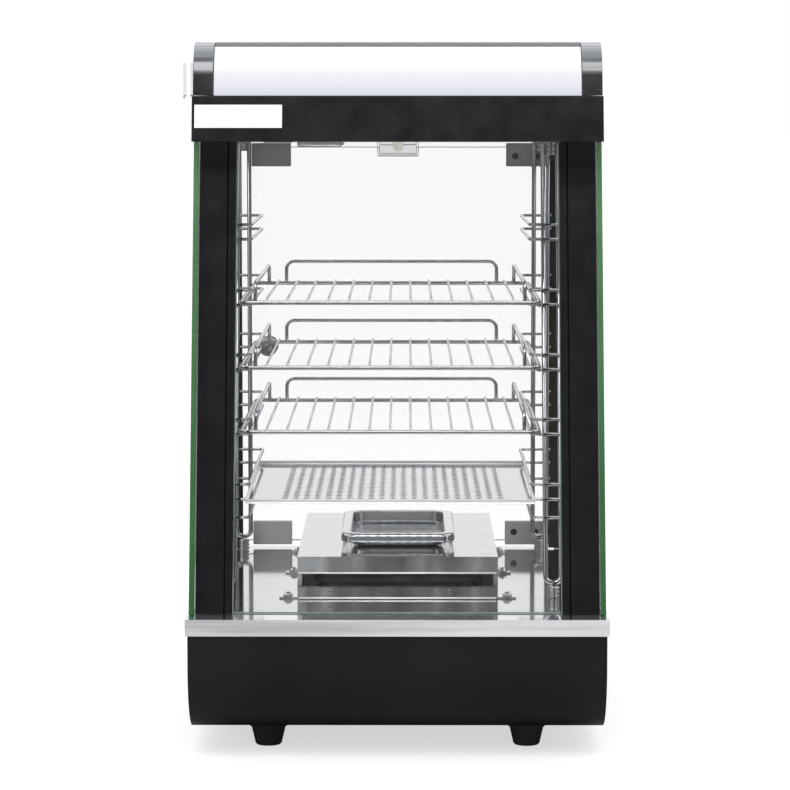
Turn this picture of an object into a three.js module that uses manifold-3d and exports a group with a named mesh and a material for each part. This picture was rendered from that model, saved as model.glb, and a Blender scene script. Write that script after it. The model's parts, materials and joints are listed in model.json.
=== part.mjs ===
// Hot food display case: a heated glass cabinet for a serving counter.
// Millimetres, +Z up. The customer's side faces -Y and the rear door faces +Y.
// The origin is on the counter, under the middle of the case.

import * as THREE from 'three';
import { mergeVertices } from 'three/addons/utils/BufferGeometryUtils.js';
import Module from 'manifold-3d';

const wasm = await Module();
wasm.setup();

// ---------------------------------------------------------------- driving dimensions

const FRONT_Y = -238;          // front edge of the deck's folded rim
const DECK_DEPTH = 455;
const DECK_HALF = 190;
const SHELL_HALF = 188;
const FOOT_HEIGHT = 22;
const DECK_Z = 130;            // top of the polished deck
const RIM_HEIGHT = 15;
const HEADER_Z = 554;          // underside of the header
const TOP_Z = 645;
const SHEET = 1.2;             // stainless sheet
const PLATE = 1.5;             // painted steel sheet
const GAP = 0.3;               // clearance between touching pieces
const LEAN = THREE.MathUtils.degToRad(14.5);   // the front leans back by this angle

const behind = (distance) => FRONT_Y + distance;   // Y of a place behind the rim's front edge
const REAR_Y = behind(DECK_DEPTH);
const leanRun = (height) => height * Math.tan(LEAN);

// Base
const BASE_FRONT = 3;          // behind the rim
const BASE_REAR = 453;
const BASE_TOP = DECK_Z - SHEET - 0.8;
const BULLNOSE = 65;           // radius of the front's lower edge
const FOOT_X = 119;
const FOOT_FRONT = 85;         // behind the rim
const FOOT_REAR = 400;
const HATCH_HALF = 92;         // service opening in the shell's underside
const HATCH_FRONT = 110;
const HATCH_REAR = 390;

// Front frame and glass
const PILLAR_INNER = 149;
const PILLAR_OUTER = 182.6;
const PILLAR_GROOVE = 156.4;
const PILLAR_DEPTH = 12;
const PILLAR_FRONT = 30;       // behind the rim, at deck level
const SIDE_GLASS = 5;
const SIDE_GLASS_FRONT = 22;
const POST_FRONT = 432;        // rear corner posts
const POST_REAR = 453;
const POST_INNER = 160;
const POST_SHEET = 3;

// Header
const HEADER_FRONT = 98;
const HEADER_REAR = 453;
const HEADER_RADIUS = 40;
const SIGN_LOW = 595.5;
const SIGN_HIGH = 641;
const SIGN_HALF = 168.3;
const SIGN_WALL = 3;
const CEILING = [554.4, 555.6];
const LAMP_DISTANCE = 285;
const LAMP_COVER_LOW = 537;
const MAGNET_LOW = 547.4;

// Rear door
const DOOR_MIDDLE = 445.5;     // behind the rim, middle of the pane
const DOOR_PANE = 5;
const DOOR_HALF = 164;
const DOOR_LOW = 137;
const DOOR_HIGH = 543;
const PIVOT_X = 152;
const CLAMP_INNER = 110;
const CLAMP_OUTER = 157;
const CATCH_OUTER = 150;       // the plates at the latch side are a little shorter
const CLAMP_HEIGHT = 20;
const PIN_RADIUS = 2.5;
const DOOR_KNOB_X = -134;
const DOOR_KNOB_Z = 338;

// Racks, shelves and tray
const RACK_SHIFT = -7;         // the racks and what they carry stand left of the case's middle
const RACK_X = 152;            // from their own middle to the middle of a post
const ROD_SPREAD = 7.2;        // a post is a U of rod: from its middle to each leg
const ROD = 4.6;
const ROD_LOW = 144;           // middle of the rod under a post's two legs
const ROD_TOP = 550;
const RACK_FRONT = 120;        // at deck level; the front posts lean with the glass
const RACK_REAR = 426;
const RAIL_LEVELS = [460, 399, 339, 279.5, 220];
const RAIL_STEP = 13.6;        // from the lower rail of a pair to its upper rail
const LOWEST_RAIL = 203.4;
const RAIL_WIRE = 3;
const RAIL_INSET = 20;         // the rails run this far inside the posts
const RAIL_STUB = 11;          // and their ends reach this far outside
const RAIL_OFFSET = 3.2;       // between the middles of a rail and the rod it is welded to
const BUSH_HEIGHT = 11;
const SHELF_LEVELS = RAIL_LEVELS.slice(1, 4);
const SHELF_HALF = 138;        // to the middle of the frame wire
const SHELF_FRONT = 112;
const SHELF_REAR = 410;
const FRAME_WIRE = 4;
const RUNNER_WIRE = 4;         // a shelf slides on a runner under each side of its frame
const RUNNER_INSET = 12;       // its ends stop this far inside the frame's
const FRAME_LIFT = 3;          // from a shelf's underside to the underside of its frame
const FILL_WIRE = 2.4;
const FILL_PITCH = 19;
const FILL_COUNT = 13;
const FILL_Z = FRAME_LIFT + 4.5;   // the fill wires lie on the frame, pressed slightly into it
const GUARD_WIRE = 3.5;
const REAR_GUARD_HALF = 106.5;
const REAR_GUARD_HEIGHT = 27;
const SIDE_GUARD_X = 124;
const SIDE_GUARD_HEIGHT = 23;
const TRAY_HALF = 134;
const TRAY_FRONT = 90;
const TRAY_REAR = 390;
const TRAY_LIP = 5;

// Heater cover and water pan
const COVER_HALF = 93;
const COVER_FRONT = 112;
const COVER_REAR = 413;
const COVER_TOP = 170;
const COVER_SLOT = [142, 154]; // heights of the slot that lets the warm air out
const TAB_DISTANCES = [122, 271, 404];
const TAB_SIZE = 17;
const SCREW_X = COVER_HALF + 9;
const ELEMENT_HALF = 76;
const ELEMENT_FRONT = 140;
const ELEMENT_REAR = 396;
const ELEMENT_Z = 145;
const ELEMENT_WIRE = 6.4;
const PAN_FRONT = 165;
const PAN_LENGTH = 176;
const PAN_WIDTH = 108;
const PAN_HEIGHT = 13;
const PAN_RIM = 8;             // height of the rolled rim
const PAN_MOUTH = [88, 156];

// Control panel
const PANEL_Y = REAR_Y - 5;    // outer face
const KNOB_PLACE = [105, 76];
const POWER_PLACE = [30, 76];
const LIGHT_PLACE = [-12, 76];
const LAMP_PLACE = [67, 76];
const GLAND_PLACE = [-140, 50];
const ROCKER_TILT = THREE.MathUtils.degToRad(8);
const SWITCH_RIM = [25, 31];
const SWITCH_BODY = [21.4, 27.4];
const SWITCH_WALL = 1.6;
const SWITCH_DEPTH = 14;
const VENT_TOP = 92;
const VENT_PITCH = 9;

// ---------------------------------------------------------------- materials

function finish(colour, roughness, metalness, opacity = 1) {
  return new THREE.MeshStandardMaterial({
    color: colour,
    roughness,
    metalness,
    opacity,
    transparent: opacity < 1,
  });
}

const looks = {
  black: () => finish(0x232326, 0.25, 0.1),
  steel: () => finish(0xc4c4c2, 0.2, 1),
  chrome: () => finish(0xd8d8d8, 0.08, 1),
  glass: () => finish(0xdfeee4, 0.02, 0, 0.3),
  clear: () => finish(0xf2f2f4, 0.05, 0, 0.4),
  sign: () => finish(0xf6f8ff, 0.4, 0),
  rubber: () => finish(0x151515, 0.8, 0),
  plastic: () => finish(0x1c1c1e, 0.5, 0),
  element: () => finish(0x4a4640, 0.6, 0.8),
  lamp: () => finish(0xffb060, 0.3, 0),
};

// ---------------------------------------------------------------- geometry helpers

function solid(geometry) {
  const bare = geometry.clone();
  bare.deleteAttribute('normal');
  bare.deleteAttribute('uv');
  const merged = mergeVertices(bare, 1e-4);
  return new wasm.Manifold(new wasm.Mesh({
    numProp: 3,
    vertProperties: new Float32Array(merged.attributes.position.array),
    triVerts: new Uint32Array(merged.index.array),
  }));
}

function geometryOf(manifold) {
  const mesh = manifold.getMesh();
  const geometry = new THREE.BufferGeometry();
  geometry.setAttribute('position', new THREE.BufferAttribute(mesh.vertProperties, 3));
  geometry.setIndex(new THREE.BufferAttribute(mesh.triVerts, 1));
  return geometry;
}

function join(...geometries) {
  const whole = geometries.map(solid).reduce((sum, next) => sum.add(next));
  return geometryOf(whole);
}

function cut(geometry, ...tools) {
  const whole = tools.map(solid).reduce((rest, tool) => rest.subtract(tool), solid(geometry));
  return geometryOf(whole);
}

function common(first, second) {
  return geometryOf(solid(first).intersect(solid(second)));
}

// A box from its low and high limits on each axis.
function block([x0, x1], [y0, y1], [z0, z1]) {
  const box = new THREE.BoxGeometry(x1 - x0, y1 - y0, z1 - z0);
  return box.translate((x0 + x1) / 2, (y0 + y1) / 2, (z0 + z1) / 2);
}

// A side profile, drawn with Y to the right and Z up, extruded along X.
function profileAlongX(shape, x0, x1, curveSegments = 8) {
  const geometry = new THREE.ExtrudeGeometry(shape, {
    depth: x1 - x0,
    bevelEnabled: false,
    curveSegments,
  });
  const turn = new THREE.Matrix4().makeBasis(
    new THREE.Vector3(0, 1, 0),
    new THREE.Vector3(0, 0, 1),
    new THREE.Vector3(1, 0, 0),
  );
  return geometry.applyMatrix4(turn).translate(x0, 0, 0);
}

function polygon(points) {
  return new THREE.Shape(points.map(([u, v]) => new THREE.Vector2(u, v)));
}

// A lathed piece whose axis is +Z. Profile points are [radius, height].
function turned(points, segments = 16) {
  return new THREE.LatheGeometry(points.map(([r, z]) => new THREE.Vector2(r, z)), segments)
    .rotateX(Math.PI / 2);
}

// The same with its axis along +Y.
function turnedAlongY(points, segments = 16) {
  return turned(points, segments).rotateX(-Math.PI / 2);
}

function rod(radius, length, sides) {
  return new THREE.CylinderGeometry(radius, radius, length, sides);
}

function rodAlongZ(radius, x, y, [z0, z1], sides = 12) {
  return rod(radius, z1 - z0, sides).rotateX(Math.PI / 2).translate(x, y, (z0 + z1) / 2);
}

function rodAlongY(radius, x, [y0, y1], z, sides = 12) {
  return rod(radius, y1 - y0, sides).translate(x, (y0 + y1) / 2, z);
}

function rodAlongX(radius, [x0, x1], y, z, sides = 12) {
  return rod(radius, x1 - x0, sides).rotateZ(Math.PI / 2).translate((x0 + x1) / 2, y, z);
}

// A curve that visits given points one by one, for bent wire.
class WireRoute extends THREE.Curve {
  constructor(points) {
    super();
    this.points = points;
  }

  getPointAt(share) {
    return this.points[Math.round(share * (this.points.length - 1))].clone();
  }

  getTangentAt(share) {
    const last = this.points.length - 1;
    const i = Math.round(share * last);
    const before = this.points[Math.max(i - 1, 0)];
    const after = this.points[Math.min(i + 1, last)];
    return after.clone().sub(before).normalize();
  }
}

// Rounds the corners of a line of points, with the given bend radius.
function roundedRoute(corners, radius, steps = 2) {
  const points = [corners[0]];
  for (let i = 1; i < corners.length - 1; i += 1) {
    const corner = corners[i];
    const back = corners[i - 1].clone().sub(corner).normalize().multiplyScalar(radius);
    const on = corners[i + 1].clone().sub(corner).normalize().multiplyScalar(radius);
    const centre = corner.clone().add(back).add(on);
    for (let step = 0; step <= steps; step += 1) {
      const angle = (Math.PI / 2) * (step / steps);
      const point = centre.clone();
      point.addScaledVector(on, -Math.cos(angle));
      point.addScaledVector(back, -Math.sin(angle));
      points.push(point);
    }
  }
  points.push(corners[corners.length - 1]);
  return points;
}

// Round wire bent along corner points [x, y, z].
function bentWire(corners, diameter, radius, sides = 5) {
  const outline = [];
  for (let i = 0; i < sides; i += 1) {
    const angle = (2 * Math.PI * i) / sides;
    outline.push(new THREE.Vector2(Math.cos(angle), Math.sin(angle)).multiplyScalar(diameter / 2));
  }
  const route = roundedRoute(corners.map((c) => new THREE.Vector3(...c)), radius);
  return new THREE.ExtrudeGeometry(new THREE.Shape(outline), {
    extrudePath: new WireRoute(route),
    steps: route.length - 1,
    bevelEnabled: false,
  });
}

const model = new THREE.Group();

function piece(name, geometry, look, parent = model) {
  const mesh = new THREE.Mesh(geometry, looks[look]());
  mesh.name = name;
  parent.add(mesh);
  return mesh;
}

function groupAt(x, y, z) {
  const group = new THREE.Group();
  group.position.set(x, y, z);
  model.add(group);
  return group;
}

// ---------------------------------------------------------------- base

// The base's side profile, drawn in from its true outline by inset.
function baseProfile(inset) {
  const front = behind(BASE_FRONT) + inset;
  const rear = behind(BASE_REAR) + inset;
  const low = FOOT_HEIGHT + inset;
  const radius = BULLNOSE - inset;
  const shape = new THREE.Shape();
  shape.moveTo(front, BASE_TOP + inset);
  shape.lineTo(front, low + radius);
  shape.absarc(front + radius, low + radius, radius, Math.PI, 1.5 * Math.PI, false);
  shape.lineTo(rear, low);
  shape.lineTo(rear, BASE_TOP + inset);
  return shape;
}

function baseShell() {
  const inner = SHELL_HALF - PLATE;
  return cut(
    profileAlongX(baseProfile(0), -SHELL_HALF, SHELL_HALF),
    profileAlongX(baseProfile(PLATE), -inner, inner),
    block([-HATCH_HALF, HATCH_HALF], [behind(HATCH_FRONT), behind(HATCH_REAR)], [0, 60]),
  );
}

function bottomPlate() {
  const low = FOOT_HEIGHT + PLATE + GAP;
  const rim = 7;
  const slots = [];
  for (const rowY of [behind(170), behind(290)]) {
    for (let i = -4; i <= 4; i += 1) {
      slots.push(block([i * 14 - 2, i * 14 + 2], [rowY, rowY + 50], [low - 5, low + 5]));
    }
  }
  return cut(
    block(
      [-HATCH_HALF - rim, HATCH_HALF + rim],
      [behind(HATCH_FRONT) - rim, behind(HATCH_REAR) + rim],
      [low, low + SHEET],
    ),
    ...slots,
  );
}

function foot() {
  const top = FOOT_HEIGHT - GAP;
  return turned([[0, 0], [10, 0], [12, 1.6], [15.5, 16], [17.5, 18], [17.5, top], [0, top]]);
}

// Holes for the screws that hold the heater cover, through its tabs and the deck.
function screwHoles() {
  const holes = [];
  for (const x of [-SCREW_X, SCREW_X]) {
    for (const distance of TAB_DISTANCES) {
      holes.push(rodAlongZ(2.4, x, behind(distance), [DECK_Z - 10, DECK_Z + 10], 12));
    }
  }
  return holes;
}

// A stainless top whose front, side and rear edges are folded down.
function deckTray() {
  const inner = DECK_HALF - SHEET;
  const under = DECK_Z - SHEET;
  const holes = [
    rodAlongZ(PIN_RADIUS + GAP, PIVOT_X, behind(DOOR_MIDDLE), [100, 140]),
    rodAlongZ(4, -ELEMENT_HALF, behind(ELEMENT_REAR), [100, 140]),
    rodAlongZ(4, ELEMENT_HALF, behind(ELEMENT_REAR), [100, 140]),
    ...screwHoles(),
  ];
  return cut(
    block([-DECK_HALF, DECK_HALF], [FRONT_Y, REAR_Y], [DECK_Z - RIM_HEIGHT, DECK_Z]),
    block([-inner, inner], [FRONT_Y + SHEET, REAR_Y - SHEET], [DECK_Z - 2 * RIM_HEIGHT, under]),
    ...holes,
  );
}

// ---------------------------------------------------------------- front frame and glass

// A slanted strip between deck and header: front face at a distance, and how thick it is.
function leaningStrip(distance, thickness, x0, x1) {
  const low = DECK_Z + GAP;
  const high = HEADER_Z - GAP;
  const run = leanRun(high - low);
  const depth = thickness / Math.cos(LEAN);
  const front = behind(distance);
  return profileAlongX(
    polygon([[front, low], [front + depth, low], [front + depth + run, high], [front + run, high]]),
    x0,
    x1,
  );
}

function pillar() {
  const groove = 1.2;
  return join(
    leaningStrip(PILLAR_FRONT, PILLAR_DEPTH, PILLAR_INNER, PILLAR_GROOVE - groove / 2),
    leaningStrip(PILLAR_FRONT + 2, PILLAR_DEPTH - 4, PILLAR_GROOVE - groove, PILLAR_GROOVE + groove),
    leaningStrip(PILLAR_FRONT, PILLAR_DEPTH, PILLAR_GROOVE + groove / 2, PILLAR_OUTER),
  );
}

function sideGlass() {
  const low = DECK_Z + GAP;
  const high = HEADER_Z - GAP;
  const front = behind(SIDE_GLASS_FRONT);
  const rear = behind(POST_FRONT) - GAP;
  const outline = [[front, low], [rear, low], [rear, high], [front + leanRun(high - low), high]];
  return profileAlongX(polygon(outline), SHELL_HALF - SIDE_GLASS, SHELL_HALF);
}

// An angle at a rear corner. The door closes against its inner leaf.
function rearPost() {
  const zone = [DECK_Z + GAP, HEADER_Z - GAP];
  const front = behind(POST_FRONT);
  const side = block([SHELL_HALF - POST_SHEET, SHELL_HALF], [front, behind(POST_REAR)], zone);
  const leaf = block([POST_INNER, SHELL_HALF], [front, front + POST_SHEET], zone);
  return join(side, leaf);
}

// The same piece on the other side of the case.
function mirrored(geometry) {
  const copy = geometry.index ? geometry.toNonIndexed() : geometry.clone();
  const position = copy.attributes.position;
  for (let i = 0; i < position.count; i += 3) {
    for (let corner = 0; corner < 3; corner += 1) {
      position.setX(i + corner, -position.getX(i + corner));
    }
    const swap = [position.getX(i), position.getY(i), position.getZ(i)];
    position.setXYZ(i, position.getX(i + 1), position.getY(i + 1), position.getZ(i + 1));
    position.setXYZ(i + 1, ...swap);
  }
  return copy;
}

// ---------------------------------------------------------------- header

// The header's side profile: a leaning front that curves over to a flat top.
function headerProfile(inset, lowest = HEADER_Z) {
  const radius = HEADER_RADIUS - inset;
  const centreZ = TOP_Z - HEADER_RADIUS;
  const turnZ = centreZ + HEADER_RADIUS * Math.sin(LEAN);
  const centreY = behind(HEADER_FRONT) + leanRun(turnZ - HEADER_Z) + HEADER_RADIUS * Math.cos(LEAN);
  const face = behind(HEADER_FRONT) + inset / Math.cos(LEAN);
  const shape = new THREE.Shape();
  shape.moveTo(face - leanRun(HEADER_Z - lowest), lowest);
  shape.lineTo(behind(HEADER_REAR) - inset, lowest);
  shape.lineTo(behind(HEADER_REAR) - inset, TOP_Z - inset);
  shape.lineTo(centreY, TOP_Z - inset);
  shape.absarc(centreY, centreZ, radius, Math.PI / 2, Math.PI - LEAN, false);
  return shape;
}

function headerShell() {
  const inner = SHELL_HALF - PLATE;
  const deep = HEADER_Z - 20;
  const ends = 30;
  const upper = [SIGN_LOW, TOP_Z + 10];
  const whole = [FRONT_Y, REAR_Y + 10];
  return cut(
    profileAlongX(headerProfile(0), -SHELL_HALF, SHELL_HALF),
    profileAlongX(headerProfile(PLATE, deep), -inner, inner),
    block([SIGN_HALF, SIGN_HALF + ends], whole, upper),
    block([-SIGN_HALF - ends, -SIGN_HALF], whole, upper),
    block([-SIGN_HALF - ends, SIGN_HALF + ends], [FRONT_Y, behind(143)], [SIGN_LOW, SIGN_HIGH]),
  );
}

// A hollow cover over the header's upper end, open towards the sign.
function headerEnd() {
  const wall = 2;
  const outer = SHELL_HALF - 0.8;
  const upper = block([0, DECK_HALF], [FRONT_Y, REAR_Y], [SIGN_LOW + GAP, TOP_Z + 5]);
  const shell = cut(
    profileAlongX(headerProfile(0), SIGN_HALF + GAP, outer),
    profileAlongX(headerProfile(wall, SIGN_LOW + wall), SIGN_HALF - wall, outer - wall),
  );
  return common(shell, upper);
}

function signPanel() {
  const half = SIGN_HALF - GAP;
  const ring = cut(
    profileAlongX(headerProfile(0.5), -half, half),
    profileAlongX(headerProfile(0.5 + SIGN_WALL, HEADER_Z - 5), -half - 5, half + 5),
  );
  const window = block(
    [-half - 5, half + 5],
    [FRONT_Y, behind(150)],
    [SIGN_LOW + GAP, SIGN_HIGH - GAP],
  );
  return common(ring, window);
}

function ceilingPanel() {
  const half = SHELL_HALF - PLATE - GAP;
  return cut(
    block([-half, half], [behind(HEADER_FRONT + 3), behind(HEADER_REAR - 2)], CEILING),
    rodAlongZ(PIN_RADIUS + GAP, PIVOT_X, behind(DOOR_MIDDLE), [540, 570]),
    rodAlongZ(6.3, 0, behind(LAMP_DISTANCE), [540, 570]),
  );
}

function lampCover() {
  const zone = [behind(LAMP_DISTANCE) - 30, behind(LAMP_DISTANCE) + 30];
  const wall = 2;
  return cut(
    block([-20, 20], zone, [LAMP_COVER_LOW, HEADER_Z - 0.2]),
    block([-20 + wall, 20 - wall], [zone[0] + wall, zone[1] - wall], [LAMP_COVER_LOW + wall, TOP_Z]),
  );
}

function lampBulb() {
  return turned([[0, 541], [3, 541.5], [5, 544], [5, 556], [6, 556.5], [6, 572], [0, 572]], 12);
}

function signLamp() {
  return rodAlongX(8, [-150, 150], behind(165), 610, 12);
}

function thermostatProbe() {
  return rodAlongX(3.5, [-97, -51], behind(250), 549.5, 10);
}

// A clear clip on the header's left end that holds a ticket.
function ticketClip() {
  const outer = -SHELL_HALF - 8.5;
  const zone = [behind(118), behind(142)];
  return cut(
    block([outer, -SHELL_HALF - GAP], zone, [593, 625]),
    block([outer + 1.6, -SHELL_HALF - 2], [zone[0] - 5, zone[1] + 5], [595, 640]),
  );
}

// ---------------------------------------------------------------- rear door, drawn about its pivot

// A channel that grips the pane's edge. It opens upward when sign is 1 and downward when -1.
function glassClamp(x0, x1, z, sign) {
  const pane = DOOR_PANE / 2 + GAP;
  const skin = 3;
  const web = 3.4;
  const outer = pane + skin;
  const span = (low, high) => [z + sign * low, z + sign * high].sort((a, b) => a - b);
  return cut(
    block([x0, x1], [-outer, outer], span(-web - GAP, CLAMP_HEIGHT)),
    block([x0 - 1, x1 + 1], [-pane, pane], span(-GAP, CLAMP_HEIGHT + 5)),
  );
}

function hingeClamp(z, sign) {
  const clamp = glassClamp(CLAMP_INNER - PIVOT_X, CLAMP_OUTER - PIVOT_X, z, sign);
  const pinZone = [z - sign * 3.5, z - sign * 12.2].sort((a, b) => a - b);
  return join(clamp, rodAlongZ(PIN_RADIUS, 0, 0, pinZone));
}

function catchPlate(z, sign) {
  return glassClamp(-CATCH_OUTER - PIVOT_X, -CLAMP_INNER - PIVOT_X, z, sign);
}

// A round knob outside the pane, its screw through the pane and a washer inside.
function doorKnob() {
  const pane = DOOR_PANE / 2;
  const knob = 28;
  return turnedAlongY([
    [0, -pane - 3], [9, -pane - 3], [10, -pane - 2], [10, -pane - GAP], [2.6, -pane - GAP],
    [2.6, pane + GAP], [6, pane + GAP], [5, pane + 8], [8.5, pane + 12], [10, pane + 18],
    [9, pane + 25], [6, pane + knob], [0, pane + knob],
  ]).translate(DOOR_KNOB_X - PIVOT_X, 0, DOOR_KNOB_Z);
}

function doorPane() {
  const half = DOOR_PANE / 2;
  return cut(
    block([-DOOR_HALF - PIVOT_X, DOOR_HALF - PIVOT_X], [-half, half], [DOOR_LOW, DOOR_HIGH]),
    rodAlongY(3, DOOR_KNOB_X - PIVOT_X, [-10, 10], DOOR_KNOB_Z),
  );
}

function buildDoor() {
  const door = groupAt(PIVOT_X, behind(DOOR_MIDDLE), 0);
  piece('door_glass', doorPane(), 'glass', door);
  piece('hinge_clamp_lower', hingeClamp(DOOR_LOW, 1), 'black', door);
  piece('hinge_clamp_upper', hingeClamp(DOOR_HIGH, -1), 'black', door);
  piece('catch_plate_lower', catchPlate(DOOR_LOW, 1), 'black', door);
  piece('catch_plate_upper', catchPlate(DOOR_HIGH, -1), 'black', door);
  piece('door_knob', doorKnob(), 'black', door);
}

// ---------------------------------------------------------------- racks, shelves and tray

// Distance behind the rim of a front rack post at a height.
const rackFront = (z) => RACK_FRONT + leanRun(z - DECK_Z);

// A post: one rod bent into a U, its two legs side by side.
function rackPost(distanceAt) {
  const corners = [
    [RACK_X + ROD_SPREAD, ROD_TOP],
    [RACK_X + ROD_SPREAD, ROD_LOW],
    [RACK_X - ROD_SPREAD, ROD_LOW],
    [RACK_X - ROD_SPREAD, ROD_TOP],
  ].map(([x, z]) => [x, behind(distanceAt(z)), z]);
  return bentWire(corners, ROD, 5, 8);
}

function rack() {
  const heights = [LOWEST_RAIL];
  for (const level of RAIL_LEVELS) {
    heights.push(level, level + RAIL_STEP);
  }
  const rails = heights.map((z) => {
    const front = behind(rackFront(z) - RAIL_OFFSET);
    const rear = behind(RACK_REAR + RAIL_OFFSET);
    return bentWire([
      [RACK_X + RAIL_STUB, front, z],
      [RACK_X - RAIL_INSET, front, z],
      [RACK_X - RAIL_INSET, rear, z],
      [RACK_X + RAIL_STUB, rear, z],
    ], RAIL_WIRE, 7);
  });
  return join(rackPost(rackFront), rackPost(() => RACK_REAR), ...rails);
}

// A ribbed bush that stands on the deck under a rack post.
function rackBush() {
  const bore = 1.8;
  const ribs = 3;
  const pitch = BUSH_HEIGHT / ribs;
  const points = [[bore, 0]];
  for (let rib = 0; rib < ribs; rib += 1) {
    const z = rib * pitch;
    points.push([5.8, z], [5.8, z + 0.6 * pitch], [4.6, z + 0.8 * pitch]);
  }
  points.push([4.6, BUSH_HEIGHT], [bore, BUSH_HEIGHT], [bore, 0]);
  return turned(points, 12);
}

// A wire shelf, drawn with the underside of its runners at height 0.
function wireShelf() {
  const frameZ = FRAME_LIFT + FRAME_WIRE / 2;
  const front = behind(SHELF_FRONT);
  const rear = behind(SHELF_REAR);
  const middle = (front + rear) / 2;
  const overlap = 2;
  const halves = [[front, middle + overlap], [rear, middle - overlap]].map(([edge, end]) => bentWire([
    [-SHELF_HALF, end, frameZ],
    [-SHELF_HALF, edge, frameZ],
    [SHELF_HALF, edge, frameZ],
    [SHELF_HALF, end, frameZ],
  ], FRAME_WIRE, 10));
  const wires = [];
  for (let i = 0; i < FILL_COUNT; i += 1) {
    const x = (i - (FILL_COUNT - 1) / 2) * FILL_PITCH;
    wires.push(rodAlongY(FILL_WIRE / 2, x, [front, rear], FILL_Z, 4));
  }
  for (const x of [-SHELF_HALF, SHELF_HALF]) {
    const run = [front + RUNNER_INSET, rear - RUNNER_INSET];
    wires.push(rodAlongY(RUNNER_WIRE / 2, x, run, RUNNER_WIRE / 2, 6));
  }
  return join(...halves, ...wires);
}

// The raised bars at a shelf's rear and sides that keep food from sliding off, and the bar
// along the shelf's rear edge that they stand on.
function shelfGuard() {
  const low = FILL_Z + FILL_WIRE / 2 + GAP + GUARD_WIRE / 2;
  const sideInset = 5;
  const front = behind(SHELF_FRONT);
  const rear = behind(SHELF_REAR);
  const bars = [
    rodAlongX(GUARD_WIRE / 2, [-SIDE_GUARD_X - 1, SIDE_GUARD_X + 1], rear, low, 6),
    bentWire([
      [-REAR_GUARD_HALF, rear, low],
      [-REAR_GUARD_HALF, rear, REAR_GUARD_HEIGHT],
      [REAR_GUARD_HALF, rear, REAR_GUARD_HEIGHT],
      [REAR_GUARD_HALF, rear, low],
    ], GUARD_WIRE, 8),
  ];
  for (const x of [-SIDE_GUARD_X, SIDE_GUARD_X]) {
    bars.push(bentWire([
      [x, front, low],
      [x, front + sideInset, SIDE_GUARD_HEIGHT],
      [x, rear - sideInset, SIDE_GUARD_HEIGHT],
      [x, rear, low],
    ], GUARD_WIRE, 4));
  }
  return join(...bars);
}

// A shallow tray for food, its four edges turned up.
function foodTray() {
  const inner = TRAY_HALF - SHEET;
  return cut(
    block([-TRAY_HALF, TRAY_HALF], [behind(TRAY_FRONT), behind(TRAY_REAR)], [0, TRAY_LIP]),
    block(
      [-inner, inner],
      [behind(TRAY_FRONT) + SHEET, behind(TRAY_REAR) - SHEET],
      [SHEET, 2 * TRAY_LIP],
    ),
  );
}

// ---------------------------------------------------------------- heater

function heaterCover() {
  const front = behind(COVER_FRONT);
  const rear = behind(COVER_REAR);
  const low = DECK_Z + GAP;
  const inner = COVER_HALF - SHEET;
  const slotInset = 3;
  const tabs = [];
  for (const side of [-1, 1]) {
    for (const distance of TAB_DISTANCES) {
      const x = [side * (COVER_HALF - 0.5), side * (COVER_HALF + TAB_SIZE)].sort((a, b) => a - b);
      tabs.push(block(x, [behind(distance) - 6, behind(distance) + 6], [low, low + SHEET]));
    }
  }
  const box = cut(
    block([-COVER_HALF, COVER_HALF], [front, rear], [low, COVER_TOP]),
    block([-inner, inner], [front + SHEET, rear - SHEET], [DECK_Z - 10, COVER_TOP - SHEET]),
    block([-inner + slotInset, inner - slotInset], [front - 5, front + 5], COVER_SLOT),
  );
  return cut(join(box, ...tabs), ...screwHoles());
}

// A sheathed heating element: a long U inside the cover, its ends down through the deck.
function heatingElement() {
  const lead = DECK_Z - 12;
  return bentWire([
    [-ELEMENT_HALF, behind(ELEMENT_REAR), lead],
    [-ELEMENT_HALF, behind(ELEMENT_REAR), ELEMENT_Z],
    [-ELEMENT_HALF, behind(ELEMENT_FRONT), ELEMENT_Z],
    [ELEMENT_HALF, behind(ELEMENT_FRONT), ELEMENT_Z],
    [ELEMENT_HALF, behind(ELEMENT_REAR), ELEMENT_Z],
    [ELEMENT_HALF, behind(ELEMENT_REAR), lead],
  ], ELEMENT_WIRE, 8, 8);
}

// A rectangle with round corners, centred on the origin.
function roundRectangle(width, length, radius) {
  const x = width / 2;
  const y = length / 2;
  const shape = new THREE.Shape();
  shape.moveTo(-x + radius, -y);
  shape.lineTo(x - radius, -y);
  shape.absarc(x - radius, -y + radius, radius, -Math.PI / 2, 0, false);
  shape.lineTo(x, y - radius);
  shape.absarc(x - radius, y - radius, radius, 0, Math.PI / 2, false);
  shape.lineTo(-x + radius, y);
  shape.absarc(-x + radius, y - radius, radius, Math.PI / 2, Math.PI, false);
  shape.lineTo(-x, -y + radius);
  shape.absarc(-x + radius, -y + radius, radius, Math.PI, 1.5 * Math.PI, false);
  return shape;
}

function roundSlab(width, length, radius, z0, z1) {
  return new THREE.ExtrudeGeometry(roundRectangle(width, length, radius), {
    depth: z1 - z0,
    bevelEnabled: false,
    curveSegments: 4,
  }).translate(0, 0, z0);
}

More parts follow.
